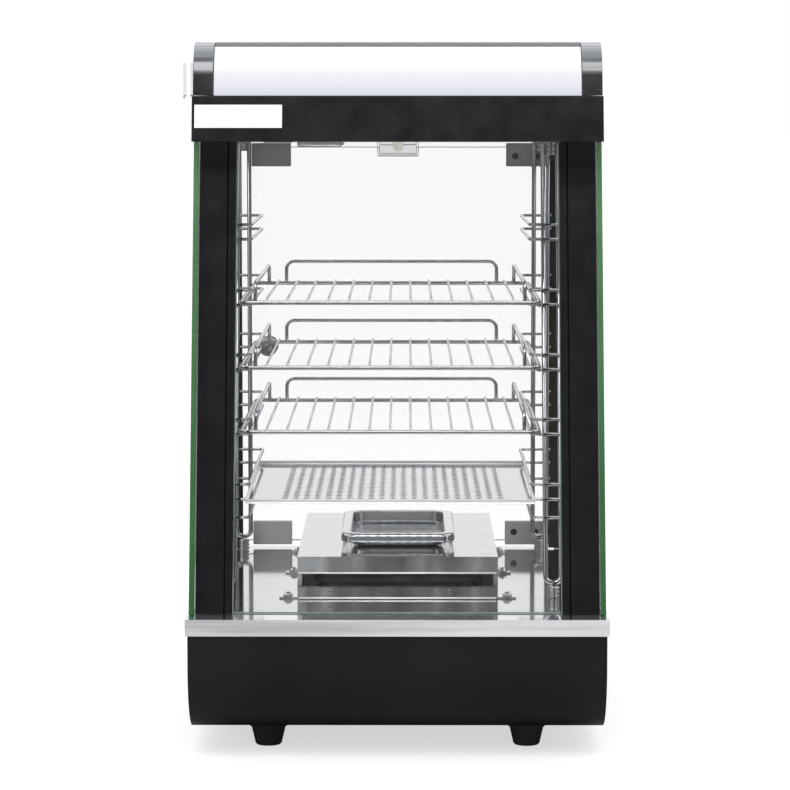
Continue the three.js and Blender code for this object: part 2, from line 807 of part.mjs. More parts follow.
// A shallow pan of ninth-size outline with a rolled rim, drawn with its underside at height 0.
function waterPan() {
  const rimDrop = PAN_HEIGHT - PAN_RIM;
  const [mouthWidth, mouthLength] = PAN_MOUTH;
  return cut(
    join(
      roundSlab(PAN_WIDTH, PAN_LENGTH, 14, rimDrop, PAN_HEIGHT),
      roundSlab(mouthWidth + 2, mouthLength + 2, 15, 0, PAN_HEIGHT - 0.5),
    ),
    roundSlab(mouthWidth, mouthLength, 14, SHEET, PAN_HEIGHT + 5),
    cut(
      roundSlab(PAN_WIDTH - 2.4, PAN_LENGTH - 2.4, 13, rimDrop - 5, PAN_HEIGHT - SHEET),
      roundSlab(mouthWidth + 2, mouthLength + 2, 15, rimDrop - 10, PAN_HEIGHT),
    ),
  );
}

function coverScrew() {
  return turned([
    [0, -6], [2, -6], [2, SHEET + GAP], [4.5, SHEET + GAP], [4.5, 3.6], [3, 5], [0, 5.4],
  ], 12);
}

function buildHeater() {
  piece('heater_cover', heaterCover(), 'steel');
  piece('heating_element', heatingElement(), 'element');
  const pan = piece('water_pan', waterPan(), 'steel');
  pan.position.set(0, behind(PAN_FRONT + PAN_LENGTH / 2), COVER_TOP + GAP);
  const [frontTab, , rearTab] = TAB_DISTANCES;
  for (const [row, distance] of [['front', frontTab], ['rear', rearTab]]) {
    for (const [side, sign] of [['left', -1], ['right', 1]]) {
      const screw = piece(`cover_screw_${row}_${side}`, coverScrew(), 'chrome');
      screw.position.set(sign * SCREW_X, behind(distance), DECK_Z + GAP);
    }
  }
}

// ---------------------------------------------------------------- controls

function controlPanel() {
  const half = SHELL_HALF - PLATE - GAP;
  const zone = [FOOT_HEIGHT + PLATE + GAP, BASE_TOP - 0.5];
  const through = [PANEL_Y - 10, PANEL_Y + 10];
  const cuts = [
    rodAlongY(4, KNOB_PLACE[0], through, KNOB_PLACE[1]),
    rodAlongY(4.6, LAMP_PLACE[0], through, LAMP_PLACE[1]),
    rodAlongY(7.8, GLAND_PLACE[0], through, GLAND_PLACE[1]),
  ];
  for (const [x, z] of [POWER_PLACE, LIGHT_PLACE]) {
    const width = SWITCH_BODY[0] / 2 + GAP;
    const height = SWITCH_BODY[1] / 2 + GAP;
    cuts.push(block([x - width, x + width], through, [z - height, z + height]));
  }
  for (let row = 0; row < 5; row += 1) {
    const z = VENT_TOP - row * VENT_PITCH;
    cuts.push(block([-115, -55], through, [z - 1.6, z + 1.6]));
  }
  return cut(block([-half, half], [PANEL_Y - PLATE, PANEL_Y], zone), ...cuts);
}

function thermostatKnob() {
  const dial = turnedAlongY([
    [0, -14], [3, -14], [3, 0.6], [21, 0.6], [21, 3], [18.5, 4], [17.5, 14], [16, 16], [0, 16],
  ], 24);
  const grip = block([-2, 2], [10, 19], [-17, 17]);
  return join(dial, grip);
}

function thermostatBody() {
  const face = -PLATE - GAP;
  return cut(
    block([-22, 22], [face - 30, face], [-20, 20]),
    rodAlongY(3.4, 0, [-16, 5], 0),
  );
}

// A switch housing: a rim outside the panel and a box behind it, open to the outside.
function switchBody() {
  const centred = ([width, height], inset, zone) => block(
    [-width / 2 + inset, width / 2 - inset],
    zone,
    [-height / 2 + inset, height / 2 - inset],
  );
  return cut(
    join(centred(SWITCH_RIM, 0, [GAP, 2]), centred(SWITCH_BODY, 0, [-22, 1])),
    centred(SWITCH_BODY, SWITCH_WALL, [-SWITCH_DEPTH, 5]),
  );
}

// A rocker drawn about its pivot, with the two halves of its face meeting in a shallow V.
function rocker() {
  const half = SWITCH_BODY[0] / 2 - SWITCH_WALL - 0.5;
  const outline = [[-8, -4], [-3, -11], [3.6, -11.2], [2.2, 0], [3.6, 11.2], [-3, 11], [-8, 4]];
  return profileAlongX(polygon(outline.reverse()), -half, half);
}

function indicatorLamp() {
  return turnedAlongY([
    [0, -16], [4.2, -16], [4.2, GAP], [6.5, GAP], [6.5, 2], [5, 3.4], [0, 4.6],
  ]);
}

// The cord's entry: a nut inside, a threaded neck through the panel and a domed collar.
function cordGland() {
  return turnedAlongY([
    [4, -10], [11, -10], [11, -6], [7.4, -6], [7.4, GAP], [12, GAP], [12, 5], [10, 6],
    [9.5, 13], [7, 16], [4, 16], [4, -10],
  ]);
}

function buildControls() {
  piece('control_panel', controlPanel(), 'black');
  const place = (name, geometry, look, [x, z], y = PANEL_Y) => {
    piece(name, geometry, look).position.set(x, y, z);
  };
  place('thermostat_body', thermostatBody(), 'plastic', KNOB_PLACE);
  place('thermostat_knob', thermostatKnob(), 'plastic', KNOB_PLACE);
  place('indicator_lamp', indicatorLamp(), 'lamp', LAMP_PLACE);
  place('cord_gland', cordGland(), 'rubber', GLAND_PLACE);
  for (const [name, spot] of [['power', POWER_PLACE], ['light', LIGHT_PLACE]]) {
    place(`${name}_switch_body`, switchBody(), 'plastic', spot);
    const paddle = piece(`${name}_switch_rocker`, rocker(), 'plastic');
    paddle.position.set(spot[0], PANEL_Y, spot[1]);
    paddle.rotation.x = -ROCKER_TILT;
  }
}

// ---------------------------------------------------------------- assembly

function buildBase() {
  piece('base_shell', baseShell(), 'black');
  piece('bottom_plate', bottomPlate(), 'black');
  piece('deck_tray', deckTray(), 'steel');
  for (const [row, distance] of [['front', FOOT_FRONT], ['rear', FOOT_REAR]]) {
    for (const [side, sign] of [['left', -1], ['right', 1]]) {
      const mesh = piece(`foot_${row}_${side}`, foot(), 'rubber');
      mesh.position.set(sign * FOOT_X, behind(distance), 0);
    }
  }
}

function buildFrame() {
  piece('pillar_left', mirrored(pillar()), 'black');
  piece('pillar_right', pillar(), 'black');
  const clear = PILLAR_INNER - GAP;
  piece('front_glass', leaningStrip(PILLAR_FRONT + 2, 4, -clear, clear), 'glass');
  piece('side_glass_left', mirrored(sideGlass()), 'glass');
  piece('side_glass_right', sideGlass(), 'glass');
  piece('rear_post_left', mirrored(rearPost()), 'black');
  piece('rear_post_right', rearPost(), 'black');
}

function buildHeader() {
  piece('header_shell', headerShell(), 'black');
  piece('header_end_left', mirrored(headerEnd()), 'black');
  piece('header_end_right', headerEnd(), 'black');
  piece('sign_panel', signPanel(), 'sign');
  piece('sign_lamp', signLamp(), 'lamp');
  piece('ceiling_panel', ceilingPanel(), 'steel');
  piece('lamp_cover', lampCover(), 'clear');
  const bulb = piece('lamp_bulb', lampBulb(), 'lamp');
  bulb.position.set(0, behind(LAMP_DISTANCE), 0);
  piece('thermostat_probe', thermostatProbe(), 'steel');
  piece('ticket_clip', ticketClip(), 'clear');
  const magnet = block([-137, -108], [behind(424), behind(442)], [MAGNET_LOW, HEADER_Z - GAP]);
  piece('door_magnet', magnet, 'plastic');
}

function buildRacks() {
  piece('rack_left', mirrored(rack()), 'chrome').position.x = RACK_SHIFT;
  piece('rack_right', rack(), 'chrome').position.x = RACK_SHIFT;
  for (const [row, distance] of [['front', rackFront(ROD_LOW)], ['rear', RACK_REAR]]) {
    for (const [side, sign] of [['left', -1], ['right', 1]]) {
      const bush = piece(`rack_bush_${row}_${side}`, rackBush(), 'chrome');
      bush.position.set(RACK_SHIFT + sign * RACK_X, behind(distance), DECK_Z + GAP);
    }
  }
  const seat = RAIL_WIRE / 2 + GAP;
  SHELF_LEVELS.forEach((level, i) => {
    for (const [name, geometry] of [['wire_shelf', wireShelf()], ['shelf_guard', shelfGuard()]]) {
      piece(`${name}_${i + 1}`, geometry, 'chrome').position.set(RACK_SHIFT, 0, level + seat);
    }
  });
  piece('food_tray', foodTray(), 'steel').position.set(RACK_SHIFT, 0, RAIL_LEVELS[4] + seat);
}

buildBase();
buildFrame();
buildHeader();
buildDoor();
buildRacks();
buildHeater();
buildControls();

export default model;
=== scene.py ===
"""The hot food display case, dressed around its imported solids.

Lengths are in metres. +Z is up, the customer's side faces -Y and the rear door faces +Y.
"""

import json
import math

import bmesh
import bpy
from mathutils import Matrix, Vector

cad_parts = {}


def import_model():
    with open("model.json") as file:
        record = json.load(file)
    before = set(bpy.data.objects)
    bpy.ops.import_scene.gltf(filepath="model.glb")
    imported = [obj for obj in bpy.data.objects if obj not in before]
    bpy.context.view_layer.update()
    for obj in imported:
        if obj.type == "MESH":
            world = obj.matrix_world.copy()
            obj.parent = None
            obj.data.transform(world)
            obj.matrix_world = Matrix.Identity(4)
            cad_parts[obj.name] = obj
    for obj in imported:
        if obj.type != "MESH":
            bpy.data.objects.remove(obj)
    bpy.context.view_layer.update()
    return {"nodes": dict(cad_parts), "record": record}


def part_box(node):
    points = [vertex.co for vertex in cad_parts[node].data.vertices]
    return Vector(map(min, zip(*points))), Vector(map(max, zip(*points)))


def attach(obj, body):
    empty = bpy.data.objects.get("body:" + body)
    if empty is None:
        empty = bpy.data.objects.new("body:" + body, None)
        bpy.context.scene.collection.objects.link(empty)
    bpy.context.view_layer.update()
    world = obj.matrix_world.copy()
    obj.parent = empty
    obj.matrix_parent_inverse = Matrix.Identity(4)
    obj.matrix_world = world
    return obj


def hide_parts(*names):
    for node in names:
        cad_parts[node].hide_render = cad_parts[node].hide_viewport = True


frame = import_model()

MM = 0.001
LEAN = math.radians(14.5)      # the front leans back by this angle

# Camera
FOCAL = 141.3                  # millimetres, on a 36 mm sensor
SENSOR = 36
CAMERA_AT = (0.0075, -2.973, 0.600)
CAMERA_PITCH = math.radians(5.6)
CAMERA_YAW = math.radians(0.2)

# Racks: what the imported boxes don't give
ROD = 4.6 * MM
ROD_SPREAD = 7.2 * MM
ROD_TOP = 550 * MM
ROD_BEND = 6 * MM
RAIL_WIRE = 3 * MM
RAIL_BEND = 5 * MM
RAIL_STEP = 13.6 * MM
RAIL_SEAT = 1.8 * MM           # from a rail's middle up to what lies on it
RAIL_INSET = 20 * MM
RAIL_STUB = 11 * MM
RAIL_OFFSET = 3.2 * MM
RAIL_TO_SLOT = 2.3 * MM        # from the empty pair's lower rail up to the free space above it
LOWEST_RAIL = 16.6 * MM        # below the tray's rail
BUSH_GAP = 0.4 * MM
TOP_BUSH_EXTRA = 3 * MM        # how much taller the upper bushes are

# Shelves
FRAME_WIRE = 4 * MM
FRAME_BEND = 10 * MM
FRAME_LIFT = 3 * MM            # from a shelf's underside to the underside of its frame
FILL_WIRE = 2.4 * MM
FILL_PITCH = 19 * MM
FILL_COUNT = 13
FILL_Z = 7.5 * MM
FILL_OVERHANG = 0.8 * MM
RUNNER_WIRE = 4 * MM
RUNNER_INSET = 12 * MM
GUARD_WIRE = 3.5 * MM
REAR_GUARD_HALF = 106.5 * MM
REAR_GUARD_TOP = 27 * MM
REAR_GUARD_BEND = 8 * MM
SIDE_GUARD_X = 124 * MM
SIDE_GUARD_TOP = 23 * MM
SIDE_GUARD_SLOPE = 5 * MM
SIDE_GUARD_BEND = 6 * MM

# Perforated tray
SHEET = 1.2 * MM
SHEET_SEEN = 0.9 * MM          # the thickness that the visual sheet is given
HOLE_PITCH = 10 * MM
HOLE_RADIUS = 3.1 * MM
HOLE_COLUMNS = 21
HOLE_ROWS = 28
HOLES_SHIFT = 2.5 * MM         # the rows of holes stand a little right of the tray's middle

# Heater cover
TAB_DISTANCES = (122, 271, 404)    # millimetres from the case's front to the cover's three pairs of tabs
SCREW_RADIUS = 4.5 * MM
SCREW_HEIGHT = 3.6 * MM
SCREW_SEAT = 3.9 * MM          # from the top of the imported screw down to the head's underside
RECESS_REACH = 2 * MM
RECESS_HALF = 0.35 * MM
RECESS_DEPTH = 0.12 * MM
HEM_WIRE = 1.8 * MM
HEM_OVERHANG = 3.6 * MM
HEM_PROUD = 0.2 * MM
HEM_FOOT = 1 * MM
RIVET_X = (-62 * MM, 48 * MM)
RIVET_Z = 7 * MM

# Heating element
ELEMENT_TUBE = 6.2 * MM
ELEMENT_INSET = 3.2 * MM
ELEMENT_BEND = 10 * MM

# Header label
LABEL_X = (2.5 * MM, 82.5 * MM)    # from the header's left edge
LABEL_Z = (12.5 * MM, 33.5 * MM)   # from its lower edge
LABEL_THICK = 0.5 * MM
LABEL_PROUD = 0.45 * MM

# Door and hinge post
PLATE_SCREW_X = (9 * MM, 31 * MM)  # from a hinge clamp's left edge
PLATE_SCREW_INSET = 9.5 * MM       # from the pane's upper or lower edge
SEAL_X = (-5.5 * MM, 2 * MM)       # from the post's left edge
SEAL_Y = (-0.1 * MM, 1.1 * MM)     # from the post's front
SEAL_SHORT = 1 * MM                # how far the seal stops short of the post's ends

# Rear panel
KNOB_FLUTES = 36
FLUTE_ENDS = ((18.2, 4.4), (17.4, 13))     # millimetres from the dial's axis, and along it
FLUTE_WIRE = 1.1 * MM
DIAL_TICKS = 19
DIAL_STEP = math.radians(15)
DIAL_START = math.radians(-45)     # from straight down
TICK_INNER = 23.5              # millimetres from the dial's axis, as the two below
TICK_LONG = 27.5
TICK_SHORT = 25.5
TICK_WIRE = 0.5 * MM
GLAND_RIBS = 12
GLAND_RIB_AT = 9.8 * MM
GLAND_RIB_Y = (6 * MM, 12.4 * MM)
GLAND_RIB_WIRE = 1.6 * MM
ROCKER_TILT = math.radians(8)
ROCKER_HALF = 11.2             # millimetres, as the two below
ROCKER_FACE = 2.25             # how far the rocker's middle stands out of the panel
ROCKER_RISE = 1.4              # how much further its ends stand out


# ---- material helpers

def new_material(name):
    """A material with a Principled shader, and the tools to build its nodes."""
    material = bpy.data.materials.new(name)
    material.use_nodes = True
    tree = material.node_tree
    return material, tree, tree.nodes["Principled BSDF"]


def fill(node, values):
    """Sets a node's uniform inputs."""
    for name, value in values.items():
        node.inputs[name].default_value = value


def link(tree, value, node, name):
    """Feeds one of a node's inputs."""
    tree.links.new(value, node.inputs[name])


def place(tree, mapping_scale):
    """Object coordinates, in metres, stretched by a scale."""
    source = tree.nodes.new("ShaderNodeTexCoord")
    mapping = tree.nodes.new("ShaderNodeMapping")
    mapping.inputs["Scale"].default_value = mapping_scale
    link(tree, source.outputs["Object"], mapping, "Vector")
    return mapping.outputs["Vector"]


def noise(tree, scale, detail=3.0, stretch=(1, 1, 1)):
    """Smooth noise over the object."""
    node = tree.nodes.new("ShaderNodeTexNoise")
    fill(node, {"Scale": scale, "Detail": detail, "Roughness": 0.5})
    link(tree, place(tree, stretch), node, "Vector")
    return node.outputs["Fac"]


def spread(tree, value, low, high, start=0.3, end=0.7):
    """Remaps a value to a range."""
    node = tree.nodes.new("ShaderNodeMapRange")
    fill(node, {"From Min": start, "From Max": end, "To Min": low, "To Max": high})
    link(tree, value, node, "Value")
    return node.outputs["Result"]


def ramp(tree, value, stops):
    """Turns a value into a colour between stops."""
    node = tree.nodes.new("ShaderNodeValToRGB")
    elements = node.color_ramp.elements
    while len(elements) < len(stops):
        elements.new(0.5)
    for element, (position, colour) in zip(elements, stops):
        element.position = position
        element.color = (*colour, 1)
    link(tree, value, node, "Fac")
    return node.outputs["Color"]


def bump(tree, shader, height, strength, distance):
    """Presses a height into a shader's surface."""
    node = tree.nodes.new("ShaderNodeBump")
    fill(node, {"Strength": strength, "Distance": distance})
    link(tree, height, node, "Height")
    link(tree, node.outputs["Normal"], shader, "Normal")


def blend(tree, kind, share, first, second):
    """Blends one colour with another."""
    mix = tree.nodes.new("ShaderNodeMix")
    mix.data_type = "RGBA"
    mix.blend_type = kind
    fill(mix, {"Factor": share})
    link(tree, first, mix, "A")
    link(tree, second, mix, "B")
    return mix.outputs["Result"]


def vary_roughness(tree, shader, value, limits):
    """Lets a shader's roughness wander with a noise value, between two limits."""
    link(tree, spread(tree, value, *limits), shader, "Roughness")


def height_share(tree, low, high):
    """How far up a point lies between two heights, from 0 to 1."""
    source = tree.nodes.new("ShaderNodeTexCoord")
    split = tree.nodes.new("ShaderNodeSeparateXYZ")
    link(tree, source.outputs["Object"], split, "Vector")
    return spread(tree, split.outputs["Z"], 0, 1, low, high)


def grey(value):
    """A neutral colour."""
    return (value, value, value)


def between(dark, light):
    """The stops of a ramp from a dark tone to a light one."""
    return [(0.3, dark), (0.7, light)]


def finish_material(name, stops, roughness, metallic=0.0, grain=400, peel=(0.05, 0.0001),
                    stretch=(1, 1, 1), level=0.5, coat=0.0):
    """A surface whose colour and roughness wander, with a fine grain pressed into it."""
    material, tree, shader = new_material(name)
    wander = noise(tree, 14, 4, stretch)
    fine = noise(tree, grain, 2, stretch)
    link(tree, ramp(tree, wander, stops), shader, "Base Color")
    vary_roughness(tree, shader, noise(tree, 45, 5, stretch), roughness)
    fill(shader, {"Metallic": metallic, "Specular IOR Level": level, "Coat Weight": coat})
    bump(tree, shader, fine, *peel)
    return material


# ---- materials

def black_paint():
    """The case's painted sheet."""
    return finish_material(
        "black_paint", between((0.0045, 0.0046, 0.0054), (0.0075, 0.0076, 0.0088)),
        (0.16, 0.27), grain=700, peel=(0.12, 0.00006), level=0.42)


def black_gloss():
    """The header's moulded ends, glossier than the painted sheet."""
    return finish_material(
        "black_gloss", between((0.006, 0.006, 0.007), (0.009, 0.009, 0.0105)),
        (0.12, 0.2), grain=600, peel=(0.06, 0.00004), level=1.0, coat=1.0)


def black_plastic():
    """Fine-grained plastic of the knobs and switches."""
    return finish_material(
        "black_plastic", between((0.012, 0.012, 0.013), (0.02, 0.02, 0.021)),
        (0.36, 0.5), grain=1600, peel=(0.25, 0.00008))


def clamp_coat():
    """The door's upper plates: a satin coat, greyer than the case."""
    return finish_material(
        "clamp_coat", between((0.26, 0.26, 0.257), (0.33, 0.33, 0.327)),
        (0.38, 0.5), grain=1400, peel=(0.2, 0.00008))


def clamp_steel():
    """The door's lower plates: a grey coat painted paler, with the light and reflection of the bright deck
    below them.
    """
    return finish_material(
        "clamp_steel", between(grey(0.5), grey(0.6)), (0.34, 0.48), grain=1400, peel=(0.2, 0.00008))


def rubber():
    """Dull rubber of the feet, the gland and the post's seal."""
    return finish_material(
        "rubber", between(grey(0.008), grey(0.016)),
        (0.6, 0.85), grain=900, peel=(0.4, 0.00012), level=0.3)


def polished_steel():
    """Mirror-like stainless sheet with faint lines."""
    return finish_material(
        "polished_steel", between((0.74, 0.745, 0.75), (0.82, 0.825, 0.825)),
        (0.045, 0.1), metallic=1.0, grain=500, peel=(0.03, 0.00005), stretch=(1, 6, 1))


def satin_steel():
    """The pan's worn inside."""
    return finish_material(
        "satin_steel", between(grey(0.6), grey(0.7)),
        (0.16, 0.24), metallic=1.0, grain=500, peel=(0.04, 0.00004))


def trim_steel():
    """The deck's folded rim: satin steel with a painted sheen, its near-white colour and light and dark
    streaks standing in for reflections.
    """
    return finish_material(
        "trim_steel", [(0.35, grey(0.58)), (0.62, grey(0.9))],
        (0.16, 0.24), metallic=0.5, grain=160, peel=(0.03, 0.00002), stretch=(0.3, 6, 6))


def chrome():
    """Plated wire and turned parts."""
    return finish_material(
        "chrome", between(grey(0.48), grey(0.6)),
        (0.05, 0.13), metallic=1.0, grain=900, peel=(0.05, 0.00004))


def bright_steel():
    """The shelves' filling wires, the tray's lip and the cover's rolled edges: steel with a painted sheen, a
    near-white colour standing in for their bright reflections.
    """
    return finish_material(
        "bright_steel", between(grey(0.8), grey(0.9)),
        (0.12, 0.22), metallic=0.35, grain=900, peel=(0.05, 0.00004))


def streaked_steel():
    """Thin polished sheet, not quite flat, with painted reflections: the soft light and dark patches in its
    colour stand in for what it mirrors.
    """
    return finish_material(
        "streaked_steel", [(0.34, (0.3, 0.295, 0.285)), (0.46, (0.5, 0.495, 0.485)),
                           (0.53, (0.62, 0.61, 0.6)), (0.62, (1.0, 1.0, 0.99))],
        (0.04, 0.09), metallic=1.0, grain=60, peel=(0.1, 0.0004), stretch=(1.7, 0.3, 0.5))


def element_sheath():
    """Heat-tinted tube of the heating element."""
    return finish_material(
        "element_sheath", [(0.25, (0.09, 0.07, 0.055)), (0.5, (0.2, 0.17, 0.14)), (0.75, (0.1, 0.1, 0.12))],
        (0.35, 0.6), metallic=1.0, grain=600, peel=(0.2, 0.0001))


def label_paper():
    """White print and labels."""
    return finish_material(
        "label_paper", between(grey(0.72), (0.78, 0.78, 0.775)),
        (0.3, 0.45), grain=2500, peel=(0.15, 0.00004))


def pale_edge():
    """The ground edges of the framed panes, paler because light comes through from all sides."""
    return finish_material(
        "pale_edge", between((0.2, 0.27, 0.21), (0.28, 0.36, 0.29)),
        (0.15, 0.3), grain=300, peel=(0.1, 0.00003))


def see_through(name, tint, roughness, ior, haze):
    """Clear glass or plastic that lets light through to what it encloses."""
    material, tree, shader = new_material(name)
    link(tree, ramp(tree, noise(tree, 6), between(tint, haze)), shader, "Base Color")
    vary_roughness(tree, shader, noise(tree, 30), roughness)
    fill(shader, {"Transmission Weight": 1.0, "IOR": ior})
    clear = tree.nodes.new("ShaderNodeBsdfTransparent")
    path = tree.nodes.new("ShaderNodeLightPath")
    mix = tree.nodes.new("ShaderNodeMixShader")
    link(tree, path.outputs["Is Shadow Ray"], mix, "Fac")
    link(tree, shader.outputs["BSDF"], mix, 1)
    link(tree, clear.outputs["BSDF"], mix, 2)
    link(tree, mix.outputs["Shader"], tree.nodes["Material Output"], "Surface")
    return material


def glass():
    """Clear float glass."""
    return see_through("glass", (0.972, 0.974, 0.972), (0.0, 0.004), 1.45, (0.964, 0.967, 0.965))


def clear_plastic():
    """The ceiling lamp's clear cover."""
    return see_through("clear_plastic", (0.93, 0.93, 0.935), (0.02, 0.06), 1.49, (0.88, 0.88, 0.885))


def thin_clear():
    """The ticket clip's thin film, which hardly bends the light."""
    return see_through("thin_clear", (0.985, 0.985, 0.99), (0.05, 0.12), 1.12, (0.97, 0.97, 0.975))


def green_edge():
    """The cut edge of the side panes' float glass: deep green that pales towards the top."""
    low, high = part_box("side_glass_right")
    material, tree, shader = new_material("green_edge")
    base = ramp(tree, height_share(tree, low.z, high.z), [
        (0.0, (0.025, 0.1, 0.028)), (0.4, (0.04, 0.125, 0.045)), (1.0, (0.08, 0.19, 0.08))])
    streaks = noise(tree, 30, 3, (1, 1, 0.3))
    tone = ramp(tree, streaks, [(0.35, (0.6, 0.68, 0.6)), (0.65, grey(1.2))])
    link(tree, blend(tree, "MULTIPLY", 0.45, base, tone), shader, "Base Color")
    vary_roughness(tree, shader, noise(tree, 300), (0.12, 0.3))
    return material


def lit_sign():
    """A lit diffuser, white above and faintly blue below."""
    low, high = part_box("sign_panel")
    material, tree, shader = new_material("lit_sign")
    glow = ramp(tree, height_share(tree, low.z, high.z), [
        (0.0, (0.62, 0.64, 0.78)), (0.25, (0.84, 0.85, 0.93)), (0.75, (0.98, 0.98, 1.0))])
    diffuser = ramp(tree, noise(tree, 40), [(0.2, (0.182, 0.182, 0.186)), (0.8, (0.188, 0.188, 0.192))])
    link(tree, diffuser, shader, "Base Color")
    link(tree, glow, shader, "Emission Color")
    vary_roughness(tree, shader, noise(tree, 60), (0.25, 0.4))
    fill(shader, {"Emission Strength": 0.66})
    return material


def frosted_lamp():
    """Warm frosted glass of the lamps."""
    material, tree, shader = new_material("frosted_lamp")
    glow = ramp(tree, noise(tree, 60, 2), between((0.9, 0.84, 0.74), (0.97, 0.92, 0.84)))
    link(tree, glow, shader, "Base Color")
    link(tree, glow, shader, "Emission Color")
    vary_roughness(tree, shader, noise(tree, 200, 2), (0.35, 0.5))
    fill(shader, {"Emission Strength": 0.5})
    return material


def amber_lens():
    """The indicator's clear amber plastic."""
    material, tree, shader = new_material("amber_lens")
    colour = ramp(tree, noise(tree, 250, 2), between((0.75, 0.2, 0.02), (0.95, 0.36, 0.05)))
    link(tree, colour, shader, "Base Color")
    vary_roughness(tree, shader, noise(tree, 300, 2), (0.08, 0.18))
    fill(shader, {"Transmission Weight": 0.35, "Emission Color": (1.0, 0.35, 0.05, 1),
                  "Emission Strength": 0.25})
    return material


MATERIALS = (
    black_paint, black_gloss, black_plastic, clamp_coat, clamp_steel, rubber, polished_steel, satin_steel,
    trim_steel, chrome, bright_steel, streaked_steel, element_sheath, label_paper, glass, clear_plastic,
    thin_clear, green_edge, pale_edge, lit_sign, frosted_lamp, amber_lens)
LOOKS = {make.__name__: make() for make in MATERIALS}


# ---- mesh helpers

def centre_of(node):
    """The middle of a CAD node's box."""
    return sum(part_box(node), Vector()) / 2


def size_in_mm(node):
    """The size of a CAD node's box, in millimetres."""
    low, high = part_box(node)
    return (high - low) / MM


def on_panel(node):
    """The point of the rear panel's outer face in front of a node's middle."""
    centre = centre_of(node)
    return Vector((centre.x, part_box("control_panel")[1].y, centre.z))


def body_of(node):
    """The name of the body a CAD node belongs to."""
    bodies = frame["record"]["behaviour"]["bodies"]
    return next(body for body, members in bodies.items() if node in members)


def opening(name):
    """The lowest and highest corners of one of the record's openings."""
    return next(o["box_m"] for o in frame["record"]["physics"]["openings"] if o["name"] == name)


def in_scene(name, data):
    """A new object in the scene."""
    thing = bpy.data.objects.new(name, data)
    bpy.context.scene.collection.objects.link(thing)
    return thing


def mesh_piece(name, bm, *looks, node=None, body="case", slot=None, smooth=True):
    """Turns a bmesh into a piece that rides on a body, or on that of the CAD node it stands for."""
    mesh = bpy.data.meshes.new(name)
    bmesh.ops.recalc_face_normals(bm, faces=bm.faces)
    bm.to_mesh(mesh)
    bm.free()
    for look in looks:
        mesh.materials.append(LOOKS[look])
    mesh.polygons.foreach_set("use_smooth", [smooth] * len(mesh.polygons))
    piece = in_scene(name, mesh)
    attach(piece, body_of(node) if node else body)
    if node:
        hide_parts(node)
    return piece


def paint_from(bm, first, look):
    """Gives a bmesh's faces another material, from one face on."""
    for face in list(bm.faces)[first:]:
        face.material_index = look


def soften(piece, width, segments=2, angle=30):
    """Rounds a piece's sharp edges and evens out its shading."""
    bevel = piece.modifiers.new("rounded_edges", "BEVEL")
    bevel.width = width
    bevel.segments = segments
    bevel.limit_method = "ANGLE"
    bevel.angle_limit = math.radians(angle)
    bevel.harden_normals = False
    even = piece.modifiers.new("even_shading", "WEIGHTED_NORMAL")
    even.keep_sharp = True


def dress(node, look, width=0.5 * MM, segments=2):
    """Gives a CAD node its material, rounded edges and smooth shading."""
    piece = frame["nodes"][node]
    mesh = piece.data
    mesh.materials.clear()
    mesh.materials.append(LOOKS[look])
    if "custom_normal" in mesh.attributes:
        mesh.attributes.remove(mesh.attributes["custom_normal"])
    mesh.polygons.foreach_set("use_smooth", [True] * len(mesh.polygons))
    weld = piece.modifiers.new("weld", "WELD")
    weld.merge_threshold = 0.01 * MM
    flat = piece.modifiers.new("flat_faces", "DECIMATE")
    flat.decimate_type = "DISSOLVE"
    flat.angle_limit = math.radians(0.5)
    soften(piece, width, segments)
    return piece


def second_look(piece, look, chosen):
    """Gives another material to those faces of a CAD node whose normal is chosen."""
    piece.data.materials.append(LOOKS[look])
    for polygon in piece.data.polygons:
        polygon.material_index = 1 if chosen(polygon.normal) else 0


def bent(corners, radius, steps=6):
    """The points of a line whose corners are rounded to a bend radius."""
    points = [Vector(corners[0])]
    for before, corner, after in zip(corners, corners[1:], corners[2:]):
        corner = Vector(corner)
        back = (Vector(before) - corner).normalized()
        on = (Vector(after) - corner).normalized()
        half = back.angle(on) / 2
        centre = corner + (back + on).normalized() * (radius / math.sin(half))
        start = corner + back * (radius / math.tan(half)) - centre
        end = corner + on * (radius / math.tan(half)) - centre
        points += [centre + start.slerp(end, step / steps) * radius for step in range(steps + 1)]
    points.append(Vector(corners[-1]))
    return points


def tube(bm, points, diameter, sides=12, closed=False):
    """Adds a round wire along points to a bmesh, with slightly rounded ends."""
    radius = diameter / 2
    points = [Vector(p) for p in points]
    path = [(point, radius) for point in points]
    if not closed:
        nose = min(radius * 0.35, (points[1] - points[0]).length / 3)
        first = (points[1] - points[0]).normalized()
        last = (points[-1] - points[-2]).normalized()
        path = ([(points[0], radius - nose), (points[0] + first * nose, radius)] + path[1:-1]
                + [(points[-1] - last * nose, radius), (points[-1], radius - nose)])
    count = len(path)
    rings = []
    side = None
    for i, (point, size) in enumerate(path):
        before = path[i - 1][0] if i > 0 or closed else point
        after = path[(i + 1) % count][0] if i < count - 1 or closed else point
        along = (after - before).normalized()
        if side is None:
            side = along.orthogonal().normalized()
        side = (side - along * side.dot(along)).normalized()
        other = along.cross(side)
        angles = (2 * math.pi * k / sides for k in range(sides))
        rings.append([
            bm.verts.new(point + size * (math.cos(a) * side + math.sin(a) * other)) for a in angles])
    join_rings(bm, rings, closed)
    if not closed:
        bm.faces.new(rings[0][::-1])
        bm.faces.new(rings[-1])


def join_rings(bm, rings, closed=False):
    """Quads between each ring of vertices and the next."""
    pairs = list(zip(rings, rings[1:]))
    if closed:
        pairs.append((rings[-1], best_turn(rings[-1], rings[0])))
    for first, second in pairs:
        size = len(first)
        for k in range(size):
            bm.faces.new((first[k], first[(k + 1) % size], second[(k + 1) % size], second[k]))


def best_turn(last, first):
    """The first ring, turned so that its vertices face those of the last one."""
    turns = range(len(first))
    best = min(turns, key=lambda t: sum(
        (last[k].co - first[(k + t) % len(first)].co).length for k in turns))
    return [first[(k + best) % len(first)] for k in turns]


